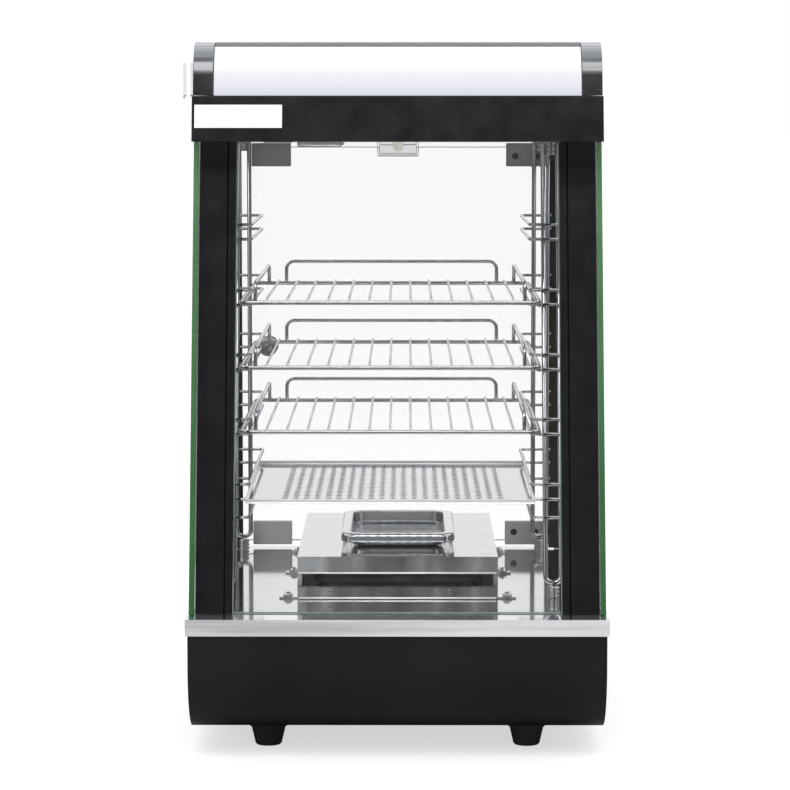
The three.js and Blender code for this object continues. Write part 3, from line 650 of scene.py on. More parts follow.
def lathe(bm, profile, centre, axis="Z", sides=48):
    """Adds a turned shape. Profile points are (radius, place along the axis)."""
    centre = Vector(centre)
    rings = []
    for radius, along in profile:
        if radius < 1e-7:
            rings.append([bm.verts.new(centre + turn_point(0, 0, along, axis))])
            continue
        angles = (2 * math.pi * k / sides for k in range(sides))
        around = ((radius * math.cos(a), radius * math.sin(a)) for a in angles)
        rings.append([bm.verts.new(centre + turn_point(u, v, along, axis)) for u, v in around])
    for first, second in zip(rings, rings[1:]):
        for k in range(sides):
            corners = [first[k % len(first)], first[(k + 1) % len(first)],
                       second[(k + 1) % len(second)], second[k % len(second)]]
            bm.faces.new(list(dict.fromkeys(corners)))


def turn_point(u, v, along, axis):
    """A point beside a turning axis."""
    return Vector({"X": (along, u, v), "Y": (v, along, u), "Z": (u, v, along)}[axis])


def rounded(profile, radius, steps=4):
    """A lathe profile whose inner corners are rounded."""
    corners = [Vector((r, a, 0)) for r, a in profile]
    points = [corners[0]]
    for before, corner, after in zip(corners, corners[1:], corners[2:]):
        back = before - corner
        on = after - corner
        if abs(back.angle(on) - math.pi) < 0.02:
            points.append(corner)
            continue
        half = back.angle(on) / 2
        reach = min(radius / math.tan(half), 0.45 * back.length, 0.45 * on.length)
        start = corner + back.normalized() * reach
        end = corner + on.normalized() * reach
        for share in (step / steps for step in range(steps + 1)):
            points.append(start * (1 - share) ** 2 + corner * 2 * share * (1 - share) + end * share ** 2)
    points.append(corners[-1])
    return [(max(p.x, 0), p.y) for p in points]


def in_mm(outline, sign=1):
    """An outline given in millimetres, in metres, mirrored along its axis by a sign of -1."""
    return [(radius * MM, sign * along * MM) for radius, along in outline]


def turned(outline, rounding, centre, axis="Z", sides=48, steps=4):
    """A bmesh of one turned shape, from an outline in millimetres with rounded corners."""
    bm = bmesh.new()
    lathe(bm, rounded(in_mm(outline), rounding, steps), centre, axis, sides)
    return bm


def boxed(bm, low, high):
    """Adds a box between two corners."""
    low, high = Vector(low), Vector(high)
    for vert in bmesh.ops.create_cube(bm, size=1)["verts"]:
        share = vert.co + Vector((0.5, 0.5, 0.5))
        vert.co = Vector(low[i] + share[i] * (high[i] - low[i]) for i in range(3))


# ---- glass

def pane(node, edge_look, width=0.7 * MM):
    """A CAD pane again, clear on its two broad faces and with ground edges of another look."""
    bm = bmesh.new()
    bm.from_mesh(frame["nodes"][node].data)
    bmesh.ops.remove_doubles(bm, verts=bm.verts, dist=0.01 * MM)
    bmesh.ops.dissolve_limit(bm, angle_limit=math.radians(1), verts=bm.verts, edges=bm.edges)
    facing = max(bm.faces, key=lambda face: face.calc_area()).normal.copy()
    sharp = [e for e in bm.edges if e.calc_face_angle(0) > math.radians(40)]
    bmesh.ops.bevel(bm, geom=sharp, offset=width, segments=2, affect="EDGES", profile=0.5)
    for face in bm.faces:
        face.material_index = 0 if abs(face.normal.dot(facing)) > 0.999 else 1
    mesh_piece(f"{node}_pane", bm, "glass", edge_look, node=node, smooth=False)


# ---- racks

def rail_heights():
    """The middle height of every rail, from what lies on the rails and the empty pair's slot."""
    levels = [opening("empty_rail_slot_right")[0][2] - RAIL_TO_SLOT]
    for node in ("wire_shelf_1", "wire_shelf_2", "wire_shelf_3", "food_tray"):
        levels.append(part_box(node)[0].z - RAIL_SEAT)
    heights = [levels[-1] - LOWEST_RAIL]
    for level in levels:
        heights += [level, level + RAIL_STEP]
    return heights


def post_line(bush):
    """Where a rack post stands: a function of place and height, and its lowest rod's height."""
    middle = centre_of(bush)
    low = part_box(bush)[1].z + BUSH_GAP + ROD / 2
    lean = math.tan(LEAN) if "front" in bush else 0.0
    return lambda x, z: Vector((middle.x + x, middle.y + (z - low) * lean, z)), low


def rack(side):
    """A side rack: two posts of bent rod, and the rails welded across them."""
    sign = 1 if side == "right" else -1
    front, front_low = post_line(f"rack_bush_front_{side}")
    rear, rear_low = post_line(f"rack_bush_rear_{side}")
    bm = bmesh.new()
    for at, low in ((front, front_low), (rear, rear_low)):
        corners = [at(ROD_SPREAD, ROD_TOP), at(ROD_SPREAD, low),
                   at(-ROD_SPREAD, low), at(-ROD_SPREAD, ROD_TOP)]
        tube(bm, bent(corners, ROD_BEND, 8), ROD, 16)
    back = Vector((0, RAIL_OFFSET, 0))
    for z in rail_heights():
        corners = [
            front(sign * RAIL_STUB, z) - back,
            front(-sign * RAIL_INSET, z) - back,
            rear(-sign * RAIL_INSET, z) + back,
            rear(sign * RAIL_STUB, z) + back,
        ]
        tube(bm, bent(corners, RAIL_BEND), RAIL_WIRE)
    mesh_piece(f"rack_{side}_wires", bm, "chrome", node=f"rack_{side}")


def bush_outline(height):
    """A bush with three ribs, in millimetres."""
    ribs = 3
    neck, rim = 4.6, 5.8
    pitch = height / MM / ribs
    points = [(0, 0)]
    for foot in (rib * pitch for rib in range(ribs)):
        points += [(neck, foot), (rim, foot + 0.15 * pitch), (rim, foot + 0.6 * pitch),
                   (neck, foot + 0.8 * pitch)]
    return points + [(neck, height / MM), (0, height / MM)]


def rack_bushes(row, side):
    """The bush under a rack's post, and its twin at the post's upper end."""
    node = f"rack_bush_{row}_{side}"
    low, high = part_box(node)
    height = high.z - low.z
    foot = centre_of(node)
    foot.z = low.z
    bm = turned(bush_outline(height), 0.5 * MM, foot, sides=32, steps=2)
    mesh_piece(f"{node}_turned", bm, "chrome", node=node)
    at, _ = post_line(node)
    head = at(0, ROD_TOP)
    head.z = ROD_TOP - height
    bm = turned(bush_outline(height + TOP_BUSH_EXTRA), 0.5 * MM, head, sides=32, steps=2)
    mesh_piece(f"rack_top_bush_{row}_{side}", bm, "chrome")


# ---- shelves and tray

def wire_shelf(number):
    """A wire shelf with its guards, all round wire."""
    node = f"wire_shelf_{number}"
    low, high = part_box(node)
    half_wire = FRAME_WIRE / 2
    x0, x1 = low.x + half_wire, high.x - half_wire
    y0, y1 = low.y + half_wire, high.y - half_wire
    z = low.z + FRAME_LIFT + half_wire
    middle = (x0 + x1) / 2
    bm = bmesh.new()
    loop = [(middle, y0, z), (x0, y0, z), (x0, y1, z), (x1, y1, z), (x1, y0, z), (middle, y0, z)]
    tube(bm, bent(loop, FRAME_BEND, 10)[:-1], FRAME_WIRE, 16, closed=True)
    runner = low.z + RUNNER_WIRE / 2
    for x in (x0, x1):
        tube(bm, [(x, y0 + RUNNER_INSET, runner), (x, y1 - RUNNER_INSET, runner)], RUNNER_WIRE, 14)
    frame_faces = len(bm.faces)
    top = low.z + FILL_Z
    for i in range(FILL_COUNT):
        x = middle + (i - (FILL_COUNT - 1) / 2) * FILL_PITCH
        tube(bm, [(x, y0 - FILL_OVERHANG, top), (x, y1 + FILL_OVERHANG, top)], FILL_WIRE)
    # the filling wires get the steel with a painted sheen
    paint_from(bm, frame_faces, 1)
    mesh_piece(f"{node}_wires", bm, "chrome", "bright_steel", node=node)
    shelf_guard(number, middle, y0, y1, z, low.z)


def shelf_guard(number, middle, y0, y1, z, floor):
    """A shelf's rear guard and its two side guards."""
    node = f"shelf_guard_{number}"
    bm = bmesh.new()
    top = floor + REAR_GUARD_TOP
    x0, x1 = middle - REAR_GUARD_HALF, middle + REAR_GUARD_HALF
    rear = [(x0, y1, z), (x0, y1, top), (x1, y1, top), (x1, y1, z)]
    tube(bm, bent(rear, REAR_GUARD_BEND, 8), GUARD_WIRE)
    top = floor + SIDE_GUARD_TOP
    for x in (middle - SIDE_GUARD_X, middle + SIDE_GUARD_X):
        run = [(x, y0, z), (x, y0 + SIDE_GUARD_SLOPE, top), (x, y1 - SIDE_GUARD_SLOPE, top), (x, y1, z)]
        tube(bm, bent(run, SIDE_GUARD_BEND, 6), GUARD_WIRE)
    mesh_piece(f"{node}_wires", bm, "chrome", node=node)


def hole_cell(bm, x, y, z, grid):
    """One square of sheet with a round hole in it. Grid holds the squares' shared corners."""
    half = HOLE_PITCH / 2
    corners = [(x + u * half, y + v * half) for u, v in ((1, 1), (-1, 1), (-1, -1), (1, -1))]
    outer = []
    for (ax, ay), (bx, by) in zip(corners, corners[1:] + corners[:1]):
        for share in (0, 0.5):
            outer.append(shared_vert(bm, grid, ax + share * (bx - ax), ay + share * (by - ay), z))
    ring = []
    count = 2 * len(outer)
    for k in range(count):
        angle = math.pi / 4 + 2 * math.pi * k / count
        ring.append(bm.verts.new((x + HOLE_RADIUS * math.cos(angle), y + HOLE_RADIUS * math.sin(angle), z)))
    for k, vert in enumerate(outer):
        following = outer[(k + 1) % len(outer)]
        bm.faces.new((vert, following, ring[(2 * k + 2) % count], ring[2 * k + 1], ring[2 * k]))


def shared_vert(bm, grid, x, y, z):
    """The vertex that neighbouring squares of sheet have in common."""
    key = (round(x / (HOLE_PITCH / 4)), round(y / (HOLE_PITCH / 4)))
    if key not in grid:
        grid[key] = bm.verts.new((x, y, z))
    return grid[key]


def food_tray():
    """A sheet with rows of round holes, its four edges turned up."""
    low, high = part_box("food_tray")
    middle = (low + high) / 2
    z = low.z + SHEET / 2
    bm = bmesh.new()
    grid = {}
    for column in range(HOLE_COLUMNS):
        for row in range(HOLE_ROWS):
            x = middle.x + HOLES_SHIFT + (column - (HOLE_COLUMNS - 1) / 2) * HOLE_PITCH
            y = middle.y + (row - (HOLE_ROWS - 1) / 2) * HOLE_PITCH
            hole_cell(bm, x, y, z, grid)
    border = [e for e in bm.edges if e.is_boundary and all(v in grid.values() for v in e.verts)]
    tray_margin(bm, border, low, high, z)
    # the tray's lip gets the steel with a painted sheen
    piece = mesh_piece("food_tray_sheet", bm, "polished_steel", "bright_steel", node="food_tray",
                       smooth=False)
    thick = piece.modifiers.new("sheet", "SOLIDIFY")
    thick.thickness = SHEET_SEEN
    thick.offset = 0
    soften(piece, 0.2 * MM, 1, 50)


def tray_margin(bm, border, low, high, z):
    """The plain margin round the holes and the lip that stands up round it."""
    middle = (low + high) / 2
    half_x = HOLE_COLUMNS * HOLE_PITCH / 2
    half_y = HOLE_ROWS * HOLE_PITCH / 2
    inner_x = (high.x - low.x) / 2 - SHEET
    inner_y = (high.y - low.y) / 2 - SHEET

    def stretched(place_at, half, reach):
        """Moves a border point out to the margin's reach, and keeps the corners square."""
        if abs(abs(place_at) - half) < 1e-6:
            return math.copysign(reach, place_at)
        return place_at / half * reach

    def outward(vert, grow, height):
        """The twin of a border vertex, further out."""
        x = stretched(vert.co.x - middle.x - HOLES_SHIFT, half_x, inner_x + grow)
        y = stretched(vert.co.y - middle.y, half_y, inner_y + grow)
        return bm.verts.new((middle.x + x, middle.y + y, height))

    steps = [(-1 * MM, z), (0, z + 0.4 * MM), (0.5 * MM, z + 1.4 * MM), (0.5 * MM, high.z - 0.3 * MM)]
    verts = dict.fromkeys(v for e in border for v in e.verts)
    chains = {v: [v] + [outward(v, *step) for step in steps] for v in verts}
    for edge in border:
        a, b = (chains[v] for v in edge.verts)
        for i in range(len(steps)):
            face = bm.faces.new((a[i], b[i], b[i + 1], a[i + 1]))
            face.material_index = 1 if i > 0 else 0


# ---- water pan

def round_rectangle(width, length, radius, steps=8):
    """Points round a rectangle with round corners, centred on the origin."""
    points = []
    for quarter, (u, v) in enumerate(((1, 1), (-1, 1), (-1, -1), (1, -1))):
        cx, cy = u * (width / 2 - radius), v * (length / 2 - radius)
        for step in range(steps + 1):
            angle = math.pi / 2 * (quarter + step / steps)
            points.append((cx + radius * math.cos(angle), cy + radius * math.sin(angle)))
    return points


def water_pan():
    """A pressed pan: its wall rises to a flat flange whose edge is rolled down."""
    low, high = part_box("water_pan")
    middle = (low + high) / 2
    floor, top = low.z / MM, high.z / MM
    rim = ((high.x - low.x) / MM, (high.y - low.y) / MM)
    mouth = (88, 156)
    inside = [
        (mouth, -14, 9, floor + 0.8),
        (mouth, -5, 12, floor + 1.4),
        (mouth, -2, 13, floor + 3.5),
        (mouth, 0, 14, top - 1.6),
        (mouth, 1, 14.5, top - 0.5),
        (mouth, 3, 15.5, top),
    ]
    outside = [
        (rim, -5, 14.5, top),
        (rim, -2.2, 14.5, top - 0.7),
        (rim, -0.5, 14.5, top - 2.4),
        (rim, 0, 14.5, top - 4.5),
        (rim, -0.6, 14.5, top - 7),
        (rim, -2.4, 13.5, top - 8),
        (rim, -4, 13, top - 7),
        (rim, -4.4, 13, top - 3),
        (mouth, 5, 15.5, top - 1.6),
        (mouth, 1.8, 15, top - 3),
        (mouth, 0, 14, floor + 3.5),
        (mouth, -4, 12, floor + 0.6),
        (mouth, -14, 9, floor),
    ]
    bm = bmesh.new()
    rings = []
    for (width, length), grow, radius, z in inside + outside:
        outline = round_rectangle((width + grow) * MM, (length + grow) * MM, radius * MM)
        rings.append([bm.verts.new((middle.x + x, middle.y + y, z * MM)) for x, y in outline])
    join_rings(bm, rings)
    paint_from(bm, (len(inside) - 1) * len(rings[0]), 1)
    bm.faces.new(rings[0])
    bm.faces.new(rings[-1])
    piece = mesh_piece("water_pan_pressing", bm, "satin_steel", "polished_steel", node="water_pan")
    piece.modifiers.new("even_shading", "WEIGHTED_NORMAL")


# ---- turned pieces

def recess_shade_inlay(name, centre):
    """The dark cross of an upright screw's recess, painted shade as a thin inlay just above the head."""
    bm = bmesh.new()
    for half in ((RECESS_REACH, RECESS_HALF, RECESS_DEPTH), (RECESS_HALF, RECESS_REACH, RECESS_DEPTH)):
        half = Vector(half)
        boxed(bm, centre - half, centre + half)
    mesh_piece(name, bm, "black_plastic", slot="chrome", smooth=False)


def cover_screws(side):
    """Screws through the heater cover's tabs on one side, the middle one included."""
    front, rear = (centre_of(f"cover_screw_{row}_{side}") for row in ("front", "rear"))
    front_tab, middle_tab, rear_tab = TAB_DISTANCES
    middle = front.lerp(rear, (middle_tab - front_tab) / (rear_tab - front_tab))
    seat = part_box("cover_screw_front_left")[1].z - SCREW_SEAT
    radius, height = SCREW_RADIUS, SCREW_HEIGHT
    head = rounded([(0, height), (radius * 0.55, height * 0.92), (radius, height * 0.35), (radius, 0),
                    (0, 0)], 0.4 * MM, 3)
    for row, spot in (("front", front), ("rear", rear), ("middle", middle)):
        name = f"cover_screw_{row}_{side}"
        bm = bmesh.new()
        lathe(bm, head, (spot.x, spot.y, seat), sides=32)
        mesh_piece(f"{name}_head", bm, "chrome", node=name if row != "middle" else None)
        # the recess's shade is painted as a dark inlay
        recess_shade_inlay(f"{name}_recess", Vector((spot.x, spot.y, seat + height)))


def foot(row, side):
    """A tapered rubber foot with a hollow sole."""
    node = f"foot_{row}_{side}"
    height = size_in_mm(node).z
    outline = [(0, 1.2), (5, 1.2), (5.4, 0), (11, 0), (12.2, 1.4), (15.6, height - 5.5), (17.5, height - 4),
               (17.5, height), (0, height)]
    bm = turned(outline, 0.8 * MM, (centre_of(node).x, centre_of(node).y, 0), sides=64)
    mesh_piece(f"{node}_moulding", bm, "rubber", node=node)


def door_knob():
    """A knob outside the pane with its neck, and a bright washer and nut inside."""
    pane_low, pane_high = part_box("door_glass")
    centre = centre_of("door_knob")
    length = (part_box("door_knob")[1].y - pane_high.y) / MM
    knob = [(0, 0), (6, 0), (6, 1.5), (5, 8), (8.4, 12), (10, 18), (9, length - 3), (6, length), (0, length)]
    bm = turned(knob, 2 * MM, (centre.x, pane_high.y, centre.z), "Y")
    mesh_piece("door_knob_turned", bm, "black_plastic", node="door_knob")
    washer = [(0, 0), (9.8, 0), (9.8, -0.8), (7.9, -3.2), (6.2, -1.2), (4.6, -1.2), (4.2, -3.4), (2.4, -4.4),
              (0, -4.7)]
    bm = turned(washer, 1.1 * MM, (centre.x, pane_low.y - 0.2 * MM, centre.z), "Y", steps=6)
    mesh_piece("door_knob_washer", bm, "chrome", body="door")


def gland():
    """The cord's gland: a ribbed collar with a plain bore."""
    seat = on_panel("cord_gland")
    outline = [(4, -8), (7.2, -8), (7.2, 0.3), (12, 0.3), (12, 5), (10, 6), (9.5, 13), (7, 16), (4.2, 16),
               (4, 15), (4, -8)]
    bm = turned(outline, 0.7 * MM, seat, "Y")
    for k in range(GLAND_RIBS):
        angle = 2 * math.pi * k / GLAND_RIBS
        rib = seat + GLAND_RIB_AT * Vector((math.cos(angle), 0, math.sin(angle)))
        tube(bm, [rib + Vector((0, along, 0)) for along in GLAND_RIB_Y], GLAND_RIB_WIRE, 8)
    mesh_piece("cord_gland_collar", bm, "rubber", node="cord_gland")


def indicator():
    """The amber indicator lamp in its bezel."""
    seat = on_panel("indicator_lamp")
    bezel = [(4.2, -10), (4.2, 0.3), (6.5, 0.3), (6.5, 1.8), (5.4, 2.6), (5.0, 1.4), (0, 1.4)]
    bm = turned(bezel, 0.3 * MM, seat, "Y", 40)
    mesh_piece("indicator_bezel", bm, "chrome")
    lens = [(0, 1.5), (4.8, 1.5), (4.6, 2.6), (3, 4.2), (0, 4.6)]
    bm = turned(lens, 0.8 * MM, seat, "Y", 40)
    mesh_piece("indicator_lens", bm, "amber_lens", node="indicator_lamp")


def thermostat_knob():
    """A fluted dial with a grip bar across it and a white pointer."""
    seat = on_panel("thermostat_knob")
    outline = [(0, 0.6), (21, 0.6), (21, 2.8), (18.6, 4), (17.6, 13.6), (15.5, 15.6), (0, 15.6)]
    bm = turned(outline, 0.9 * MM, seat, "Y", 72)
    for k in range(KNOB_FLUTES):
        angle = 2 * math.pi * k / KNOB_FLUTES
        x, z = math.cos(angle), math.sin(angle)
        tube(bm, [seat + Vector((out * x, along, out * z)) * MM for out, along in FLUTE_ENDS], FLUTE_WIRE, 6)
    for top, half in ((14, 4.2), (19, 2.6)):
        boxed(bm, seat + Vector((-half, 10, -16.4)) * MM, seat + Vector((half, top, 16.4)) * MM)
    piece = mesh_piece("thermostat_knob_dial", bm, "black_plastic", node="thermostat_knob")
    soften(piece, 0.4 * MM, 2, 40)
    bm = bmesh.new()
    boxed(bm, seat + Vector((-0.7, 18.9, 5)) * MM, seat + Vector((0.7, 19.1, 15.8)) * MM)
    mesh_piece("thermostat_pointer", bm, "label_paper", body="thermostat_dial", smooth=False)
    dial_marks(seat)


def dial_marks(seat):
    """Plain ticks round the thermostat, longer at every third."""
    bm = bmesh.new()
    for k in range(DIAL_TICKS):
        angle = DIAL_START + k * DIAL_STEP
        outer = TICK_LONG if k % 3 == 0 else TICK_SHORT
        tube(bm, [seat + Vector((r * math.sin(angle), 0.05, -r * math.cos(angle))) * MM
                  for r in (TICK_INNER, outer)], TICK_WIRE, 6)
    mesh_piece("dial_marks", bm, "label_paper")


def heating_element():
    """A round-bent tube whose two ends turn down."""
    low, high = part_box("heating_element")
    z = high.z - ELEMENT_INSET
    x0, x1 = low.x + ELEMENT_INSET, high.x - ELEMENT_INSET
    y0, y1 = low.y + ELEMENT_INSET, high.y - ELEMENT_INSET
    bm = bmesh.new()
    corners = [(x0, y1, low.z), (x0, y1, z), (x0, y0, z), (x1, y0, z), (x1, y1, z), (x1, y1, low.z)]
    tube(bm, bent(corners, ELEMENT_BEND, 8), ELEMENT_TUBE, 20)
    mesh_piece("heating_element_sheath", bm, "element_sheath", node="heating_element")


def thermostat_probe():
    """The thermostat's bulb, lying under the ceiling."""
    centre = centre_of("thermostat_probe")
    length = size_in_mm("thermostat_probe").x
    outline = [(0, 0), (3.3, 1), (3.3, length - 5), (1.6, length - 2), (0, length)]
    bm = turned(outline, 1 * MM, (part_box("thermostat_probe")[0].x, centre.y, centre.z), "X", 32)
    mesh_piece("thermostat_probe_bulb", bm, "polished_steel", node="thermostat_probe")


def lamps():
    """The ceiling's bulb and the tube behind the sign."""
    centre = centre_of("lamp_bulb")
    height = size_in_mm("lamp_bulb").z
    bulb = [(0, 0), (3.4, 0.6), (5, 3), (5, 15), (6, 15.5), (6, height), (0, height)]
    bm = turned(bulb, 0.8 * MM, (centre.x, centre.y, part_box("lamp_bulb")[0].z), "Z", 32)
    mesh_piece("lamp_bulb_glass", bm, "frosted_lamp", node="lamp_bulb")
    centre = centre_of("sign_lamp")
    length = size_in_mm("sign_lamp").x
    stick = [(0, 0), (7.8, 0), (7.8, 9), (7.2, 10), (7.2, length - 10), (7.8, length - 9), (7.8, length),
             (0, length)]
    bm = turned(stick, 0.4 * MM, (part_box("sign_lamp")[0].x, centre.y, centre.z), "X", 32)
    mesh_piece("sign_lamp_tube", bm, "frosted_lamp", node="sign_lamp")


# ---- trim

def header_label():
    """A blank white label on the leaning lower part of the header."""
    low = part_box("header_shell")[0]
    bm = bmesh.new()
    boxed(bm, (low.x + LABEL_X[0], 0, low.z + LABEL_Z[0]),
          (low.x + LABEL_X[1], LABEL_THICK, low.z + LABEL_Z[1]))
    for vert in bm.verts:
        vert.co.y += low.y - LABEL_PROUD + (vert.co.z - low.z) * math.tan(LEAN)
    piece = mesh_piece("header_label", bm, "label_paper", smooth=False)
    soften(piece, 0.15 * MM, 2)


def plate_screws():
    """Two countersunk screws in each hinge clamp, on its inner and outer faces."""
    outline = [(0, 0.2), (1.1, 0.1), (1.3, 0.5), (3.2, 0.35), (3.4, 0)]
    pane_low, pane_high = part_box("door_glass")
    lower, upper = pane_low.z + PLATE_SCREW_INSET, pane_high.z - PLATE_SCREW_INSET
    for node, z in (("hinge_clamp_lower", lower), ("hinge_clamp_upper", upper)):
        low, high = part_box(node)
        bm = bmesh.new()
        for x in (low.x + reach for reach in PLATE_SCREW_X):
            for y, sign in ((low.y, -1), (high.y, 1)):
                lathe(bm, in_mm(outline, sign), (x, y, z), "Y", 24)
        mesh_piece(f"{node}_screws", bm, "black_plastic", body="door")


def switch_marks(name):
    """A stroke and a ring on a rocker, for on and off."""
    seat = on_panel(f"{name}_switch_rocker")
    seat.z = centre_of(f"{name}_switch_body").z

    def on_face(x, share):
        """A point on the rocker's upper (share > 0) or lower half face."""
        z = ROCKER_HALF * share
        y = ROCKER_FACE + ROCKER_RISE * abs(share)
        return seat + MM * Vector((
            x, y * math.cos(ROCKER_TILT) + z * math.sin(ROCKER_TILT),
            z * math.cos(ROCKER_TILT) - y * math.sin(ROCKER_TILT)))

    bm = bmesh.new()
    tube(bm, [on_face(0, 0.35), on_face(0, 0.75)], 0.7 * MM, 8)
    angles = (2 * math.pi * k / 20 for k in range(20))
    ring = [on_face(2 * math.cos(a), -0.55 + 0.17 * math.sin(a)) for a in angles]
    tube(bm, ring, 0.6 * MM, 8, closed=True)
    mesh_piece(f"{name}_switch_marks", bm, "label_paper", body=f"{name}_rocker")


def cover_rivets():
    """Small domed rivets on the heater cover's front lip."""
    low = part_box("heater_cover")[0]
    dome = rounded(in_mm([(0, -0.9), (1.6, -0.5), (2.2, 0), (0, 0)]), 0.3 * MM, 2)
    bm = bmesh.new()
    for x in RIVET_X:
        lathe(bm, dome, (x, low.y, low.z + RIVET_Z), "Y", 24)
    mesh_piece("heater_cover_rivets", bm, "chrome")


def cover_hems():
    """The rolled edges above the slot in the heater cover's front and along its foot, whose bright lines are
    a painted highlight.
    """
    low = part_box("heater_cover")[0]
    slot_low, slot_high = opening("heater_air_slot")
    x0, x1 = slot_low[0] - HEM_OVERHANG, slot_high[0] + HEM_OVERHANG
    y = low.y - HEM_PROUD
    bm = bmesh.new()
    for z in (low.z + HEM_FOOT, slot_high[2] + HEM_WIRE):
        tube(bm, [(x0, y, z), (x1, y, z)], HEM_WIRE, 14)
    mesh_piece("heater_cover_hems", bm, "bright_steel")


def rear_post_seal():
    """A dark strip along the hinge side's corner post, in front of the door's edge."""
    low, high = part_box("rear_post_right")
    bm = bmesh.new()
    boxed(bm, (low.x + SEAL_X[0], low.y + SEAL_Y[0], low.z + SEAL_SHORT),
          (low.x + SEAL_X[1], low.y + SEAL_Y[1], high.z - SEAL_SHORT))
    piece = mesh_piece("rear_post_seal", bm, "rubber", smooth=False)
    soften(piece, 0.3 * MM)


def dress_cad_nodes():
    """Materials, rounded edges and smooth shading for the nodes whose shape stays."""
    for node in ("header_end_left", "header_end_right"):
        dress(node, "black_gloss", 0.7 * MM)
    for node in ("base_shell", "header_shell", "rear_post_left", "rear_post_right", "control_panel"):
        dress(node, "black_paint", 0.7 * MM)
    for node in ("pillar_left", "pillar_right"):
        dress(node, "black_paint", 1.3 * MM, 3)
    dress("bottom_plate", "black_paint", 0.25 * MM)
    for node in ("hinge_clamp_upper", "catch_plate_upper"):
        dress(node, "clamp_coat", 0.8 * MM)
    # the lower plates get the coat painted paler with the bright deck's light
    for node in ("hinge_clamp_lower", "catch_plate_lower"):
        dress(node, "clamp_steel", 0.8 * MM)
    for node in ("door_magnet", "thermostat_body", "power_switch_body", "light_switch_body",
                 "power_switch_rocker", "light_switch_rocker"):
        dress(node, "black_plastic", 0.4 * MM)
    cover = dress("heater_cover", "polished_steel", 0.35 * MM)
    # the cover's front face: polished steel with painted reflections
    second_look(cover, "streaked_steel", lambda normal: normal.y < -0.9)
    dress("ceiling_panel", "polished_steel", 0.2 * MM)
    dress("sign_panel", "lit_sign", 0.4 * MM)
    dress("lamp_cover", "clear_plastic", 0.6 * MM)
    dress("ticket_clip", "thin_clear", 0.3 * MM)
    deck = dress("deck_tray", "polished_steel", 0.4 * MM)
    # the deck's rim: satin steel with a painted sheen
    second_look(deck, "trim_steel", lambda normal: normal.z <= 0.9)


# ---- stage, light and camera

def mirrored_share(tree):
    """1 for light that has been mirrored by a surface on its way, and 0 for the rest."""
    path = tree.nodes.new("ShaderNodeLightPath")
    clamp = tree.nodes.new("ShaderNodeClamp")
    link(tree, path.outputs["Glossy Depth"], clamp, "Value")
    return clamp.outputs["Result"]


def by_mirrored(tree, plain, mirrored, output):
    """Shows one shader directly, and another in mirrored light."""
    mix = tree.nodes.new("ShaderNodeMixShader")
    link(tree, mirrored_share(tree), mix, "Fac")
    link(tree, plain, mix, 1)
    link(tree, mirrored, mix, 2)
    link(tree, mix.outputs["Shader"], output, "Surface")


def stage():
    """A pale floor that runs far back."""
    bm = bmesh.new()
    bmesh.ops.create_grid(bm, x_segments=1, y_segments=1, size=30)
    mesh = bpy.data.meshes.new("floor")
    bm.to_mesh(mesh)
    bm.free()
    material, tree, shader = new_material("floor")
    tone = ramp(tree, noise(tree, 3, 2), between(grey(0.44), grey(0.46)))
    link(tree, tone, shader, "Base Color")
    fill(shader, {"Roughness": 0.7, "Specular IOR Level": 0.1, "Emission Color": (1, 1, 1, 1),
                  "Emission Strength": 0.62})
    dim = tree.nodes.new("ShaderNodeBsdfDiffuse")
    fill(dim, {"Color": (0.2, 0.2, 0.2, 1)})
    by_mirrored(tree, shader.outputs["BSDF"], dim.outputs["BSDF"], tree.nodes["Material Output"])
    mesh.materials.append(material)
    in_scene("floor", mesh)


def softbox(name, place_at, aim, size, power, colour=(1, 1, 1)):
    """A rectangular area light, aimed at a point."""
    light = bpy.data.lights.new(name, "AREA")
    light.shape = "RECTANGLE"
    light.size, light.size_y = size
    light.energy = power
    light.color = colour
    lamp = in_scene(name, light)
    lamp.location = place_at
    lamp.rotation_euler = (Vector(aim) - Vector(place_at)).to_track_quat("-Z", "Y").to_euler()


def cool_grey(value):
    """A grey with a trace of blue."""
    return (value, value, value * 1.02)


def room_colour(tree, split):
    """The mirrored room's colour: a bright backdrop behind the case, and a bright ceiling."""
    depth = spread(tree, split.outputs["Y"], 0, 1, -1, 1)
    tones = ((0.0, 0.26), (0.03, 0.2), (0.2, 0.09), (0.7, 0.06), (0.9, 0.25), (0.955, 1.0))
    backdrop = ramp(tree, depth, [(place_at, cool_grey(tone)) for place_at, tone in tones])
    overhead = ramp(tree, split.outputs["Z"], [
        (0.0, cool_grey(0.0)), (0.5, cool_grey(0.04)), (0.54, (0.83, 0.87, 0.93)),
        (1.0, (0.63, 0.665, 0.71))])
    return blend(tree, "LIGHTEN", 1.0, backdrop, overhead)


def room_strength(tree, source, split):
    """The mirrored room's strength: patchy in front, even behind and stronger overhead."""
    patches = tree.nodes.new("ShaderNodeTexNoise")
    fill(patches, {"Scale": 5.0, "Detail": 2.0})
    link(tree, source.outputs["Generated"], patches, "Vector")
    patchy = spread(tree, patches.outputs["Fac"], 0.45, 1.3, 0.4, 0.65)
    strength = tree.nodes.new("ShaderNodeMix")
    link(tree, spread(tree, split.outputs["Y"], 0, 1, -0.6, 0.2), strength, "Factor")
    link(tree, patchy, strength, "A")
    strength.inputs["B"].default_value = 1.0
    raised = tree.nodes.new("ShaderNodeMath")
    raised.operation = "MULTIPLY"
    link(tree, strength.outputs["Result"], raised, 0)
    link(tree, spread(tree, split.outputs["Z"], 1.0, 2.2, 0.5, 0.54), raised, 1)
    return raised.outputs["Value"]


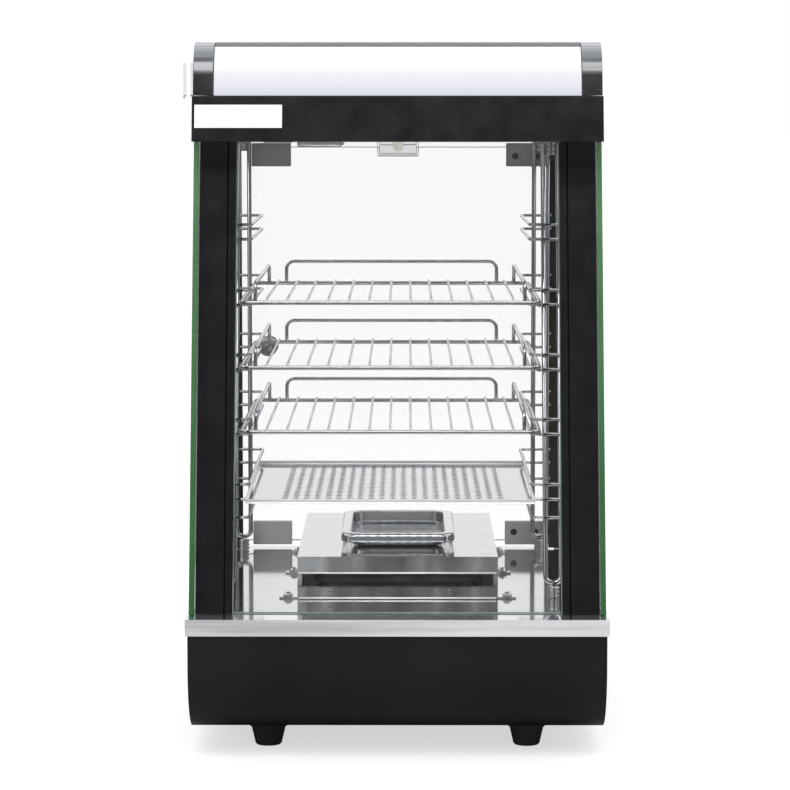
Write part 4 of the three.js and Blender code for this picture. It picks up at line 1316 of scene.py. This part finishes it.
def world():
    """White all round, but a dim room with a bright backdrop as the polished surfaces see it."""
    surroundings = bpy.data.worlds.new("studio")
    bpy.context.scene.world = surroundings
    surroundings.use_nodes = True
    tree = surroundings.node_tree
    plain = tree.nodes["Background"]
    fill(plain, {"Color": (1, 1, 1, 1), "Strength": 1.0})
    source = tree.nodes.new("ShaderNodeTexCoord")
    split = tree.nodes.new("ShaderNodeSeparateXYZ")
    link(tree, source.outputs["Generated"], split, "Vector")
    room = tree.nodes.new("ShaderNodeBackground")
    link(tree, room_colour(tree, split), room, "Color")
    link(tree, room_strength(tree, source, split), room, "Strength")
    by_mirrored(tree, plain.outputs["Background"], room.outputs["Background"], tree.nodes["World Output"])


def lights():
    """Four soft boxes. The front one's reflection lies along the header's round upper edge."""
    softbox("front_box", (0.0, -1.35, 2.25), (0, 0, 0.6), (2.2, 0.9), 18)
    softbox("top_box", (0.0, 0.3, 2.3), (0, 0, 0.3), (2.0, 1.4), 6)
    softbox("left_box", (-2.0, -1.5, 1.5), (0, 0, 0.4), (1.4, 1.8), 9, (0.93, 0.96, 1.0))
    softbox("right_box", (2.2, -1.2, 1.2), (0, 0, 0.35), (1.0, 1.6), 4)


def camera():
    """The camera, level with the upper part of the case and far off."""
    data = bpy.data.cameras.new("camera")
    data.lens = FOCAL
    data.sensor_width = SENSOR
    data.clip_end = 100
    view = in_scene("camera", data)
    view.location = CAMERA_AT
    view.rotation_euler = (math.pi / 2 - CAMERA_PITCH, 0, CAMERA_YAW)
    bpy.context.scene.camera = view


def look_settings():
    """Plain colours, and enough bounces for glass behind glass."""
    scene = bpy.context.scene
    scene.view_settings.view_transform = "Standard"
    scene.cycles.use_denoising = True
    scene.cycles.max_bounces = 24
    scene.cycles.transmission_bounces = 18
    scene.cycles.transparent_max_bounces = 32
    scene.cycles.glossy_bounces = 8


# ---- assembly

camera()
stage()
world()
lights()
look_settings()

dress_cad_nodes()
for glass_node in ("side_glass_left", "side_glass_right"):
    pane(glass_node, "green_edge")
for glass_node in ("front_glass", "door_glass"):
    pane(glass_node, "pale_edge")
for case_side in ("left", "right"):
    rack(case_side)
for case_row in ("front", "rear"):
    for case_side in ("left", "right"):
        rack_bushes(case_row, case_side)
for shelf_number in (1, 2, 3):
    wire_shelf(shelf_number)
food_tray()
water_pan()
for case_side in ("left", "right"):
    cover_screws(case_side)
cover_rivets()
cover_hems()
heating_element()
thermostat_probe()
lamps()
for case_row in ("front", "rear"):
    for case_side in ("left", "right"):
        foot(case_row, case_side)
door_knob()
plate_screws()
gland()
indicator()
thermostat_knob()
for switch in ("power", "light"):
    switch_marks(switch)
header_label()
rear_post_seal()
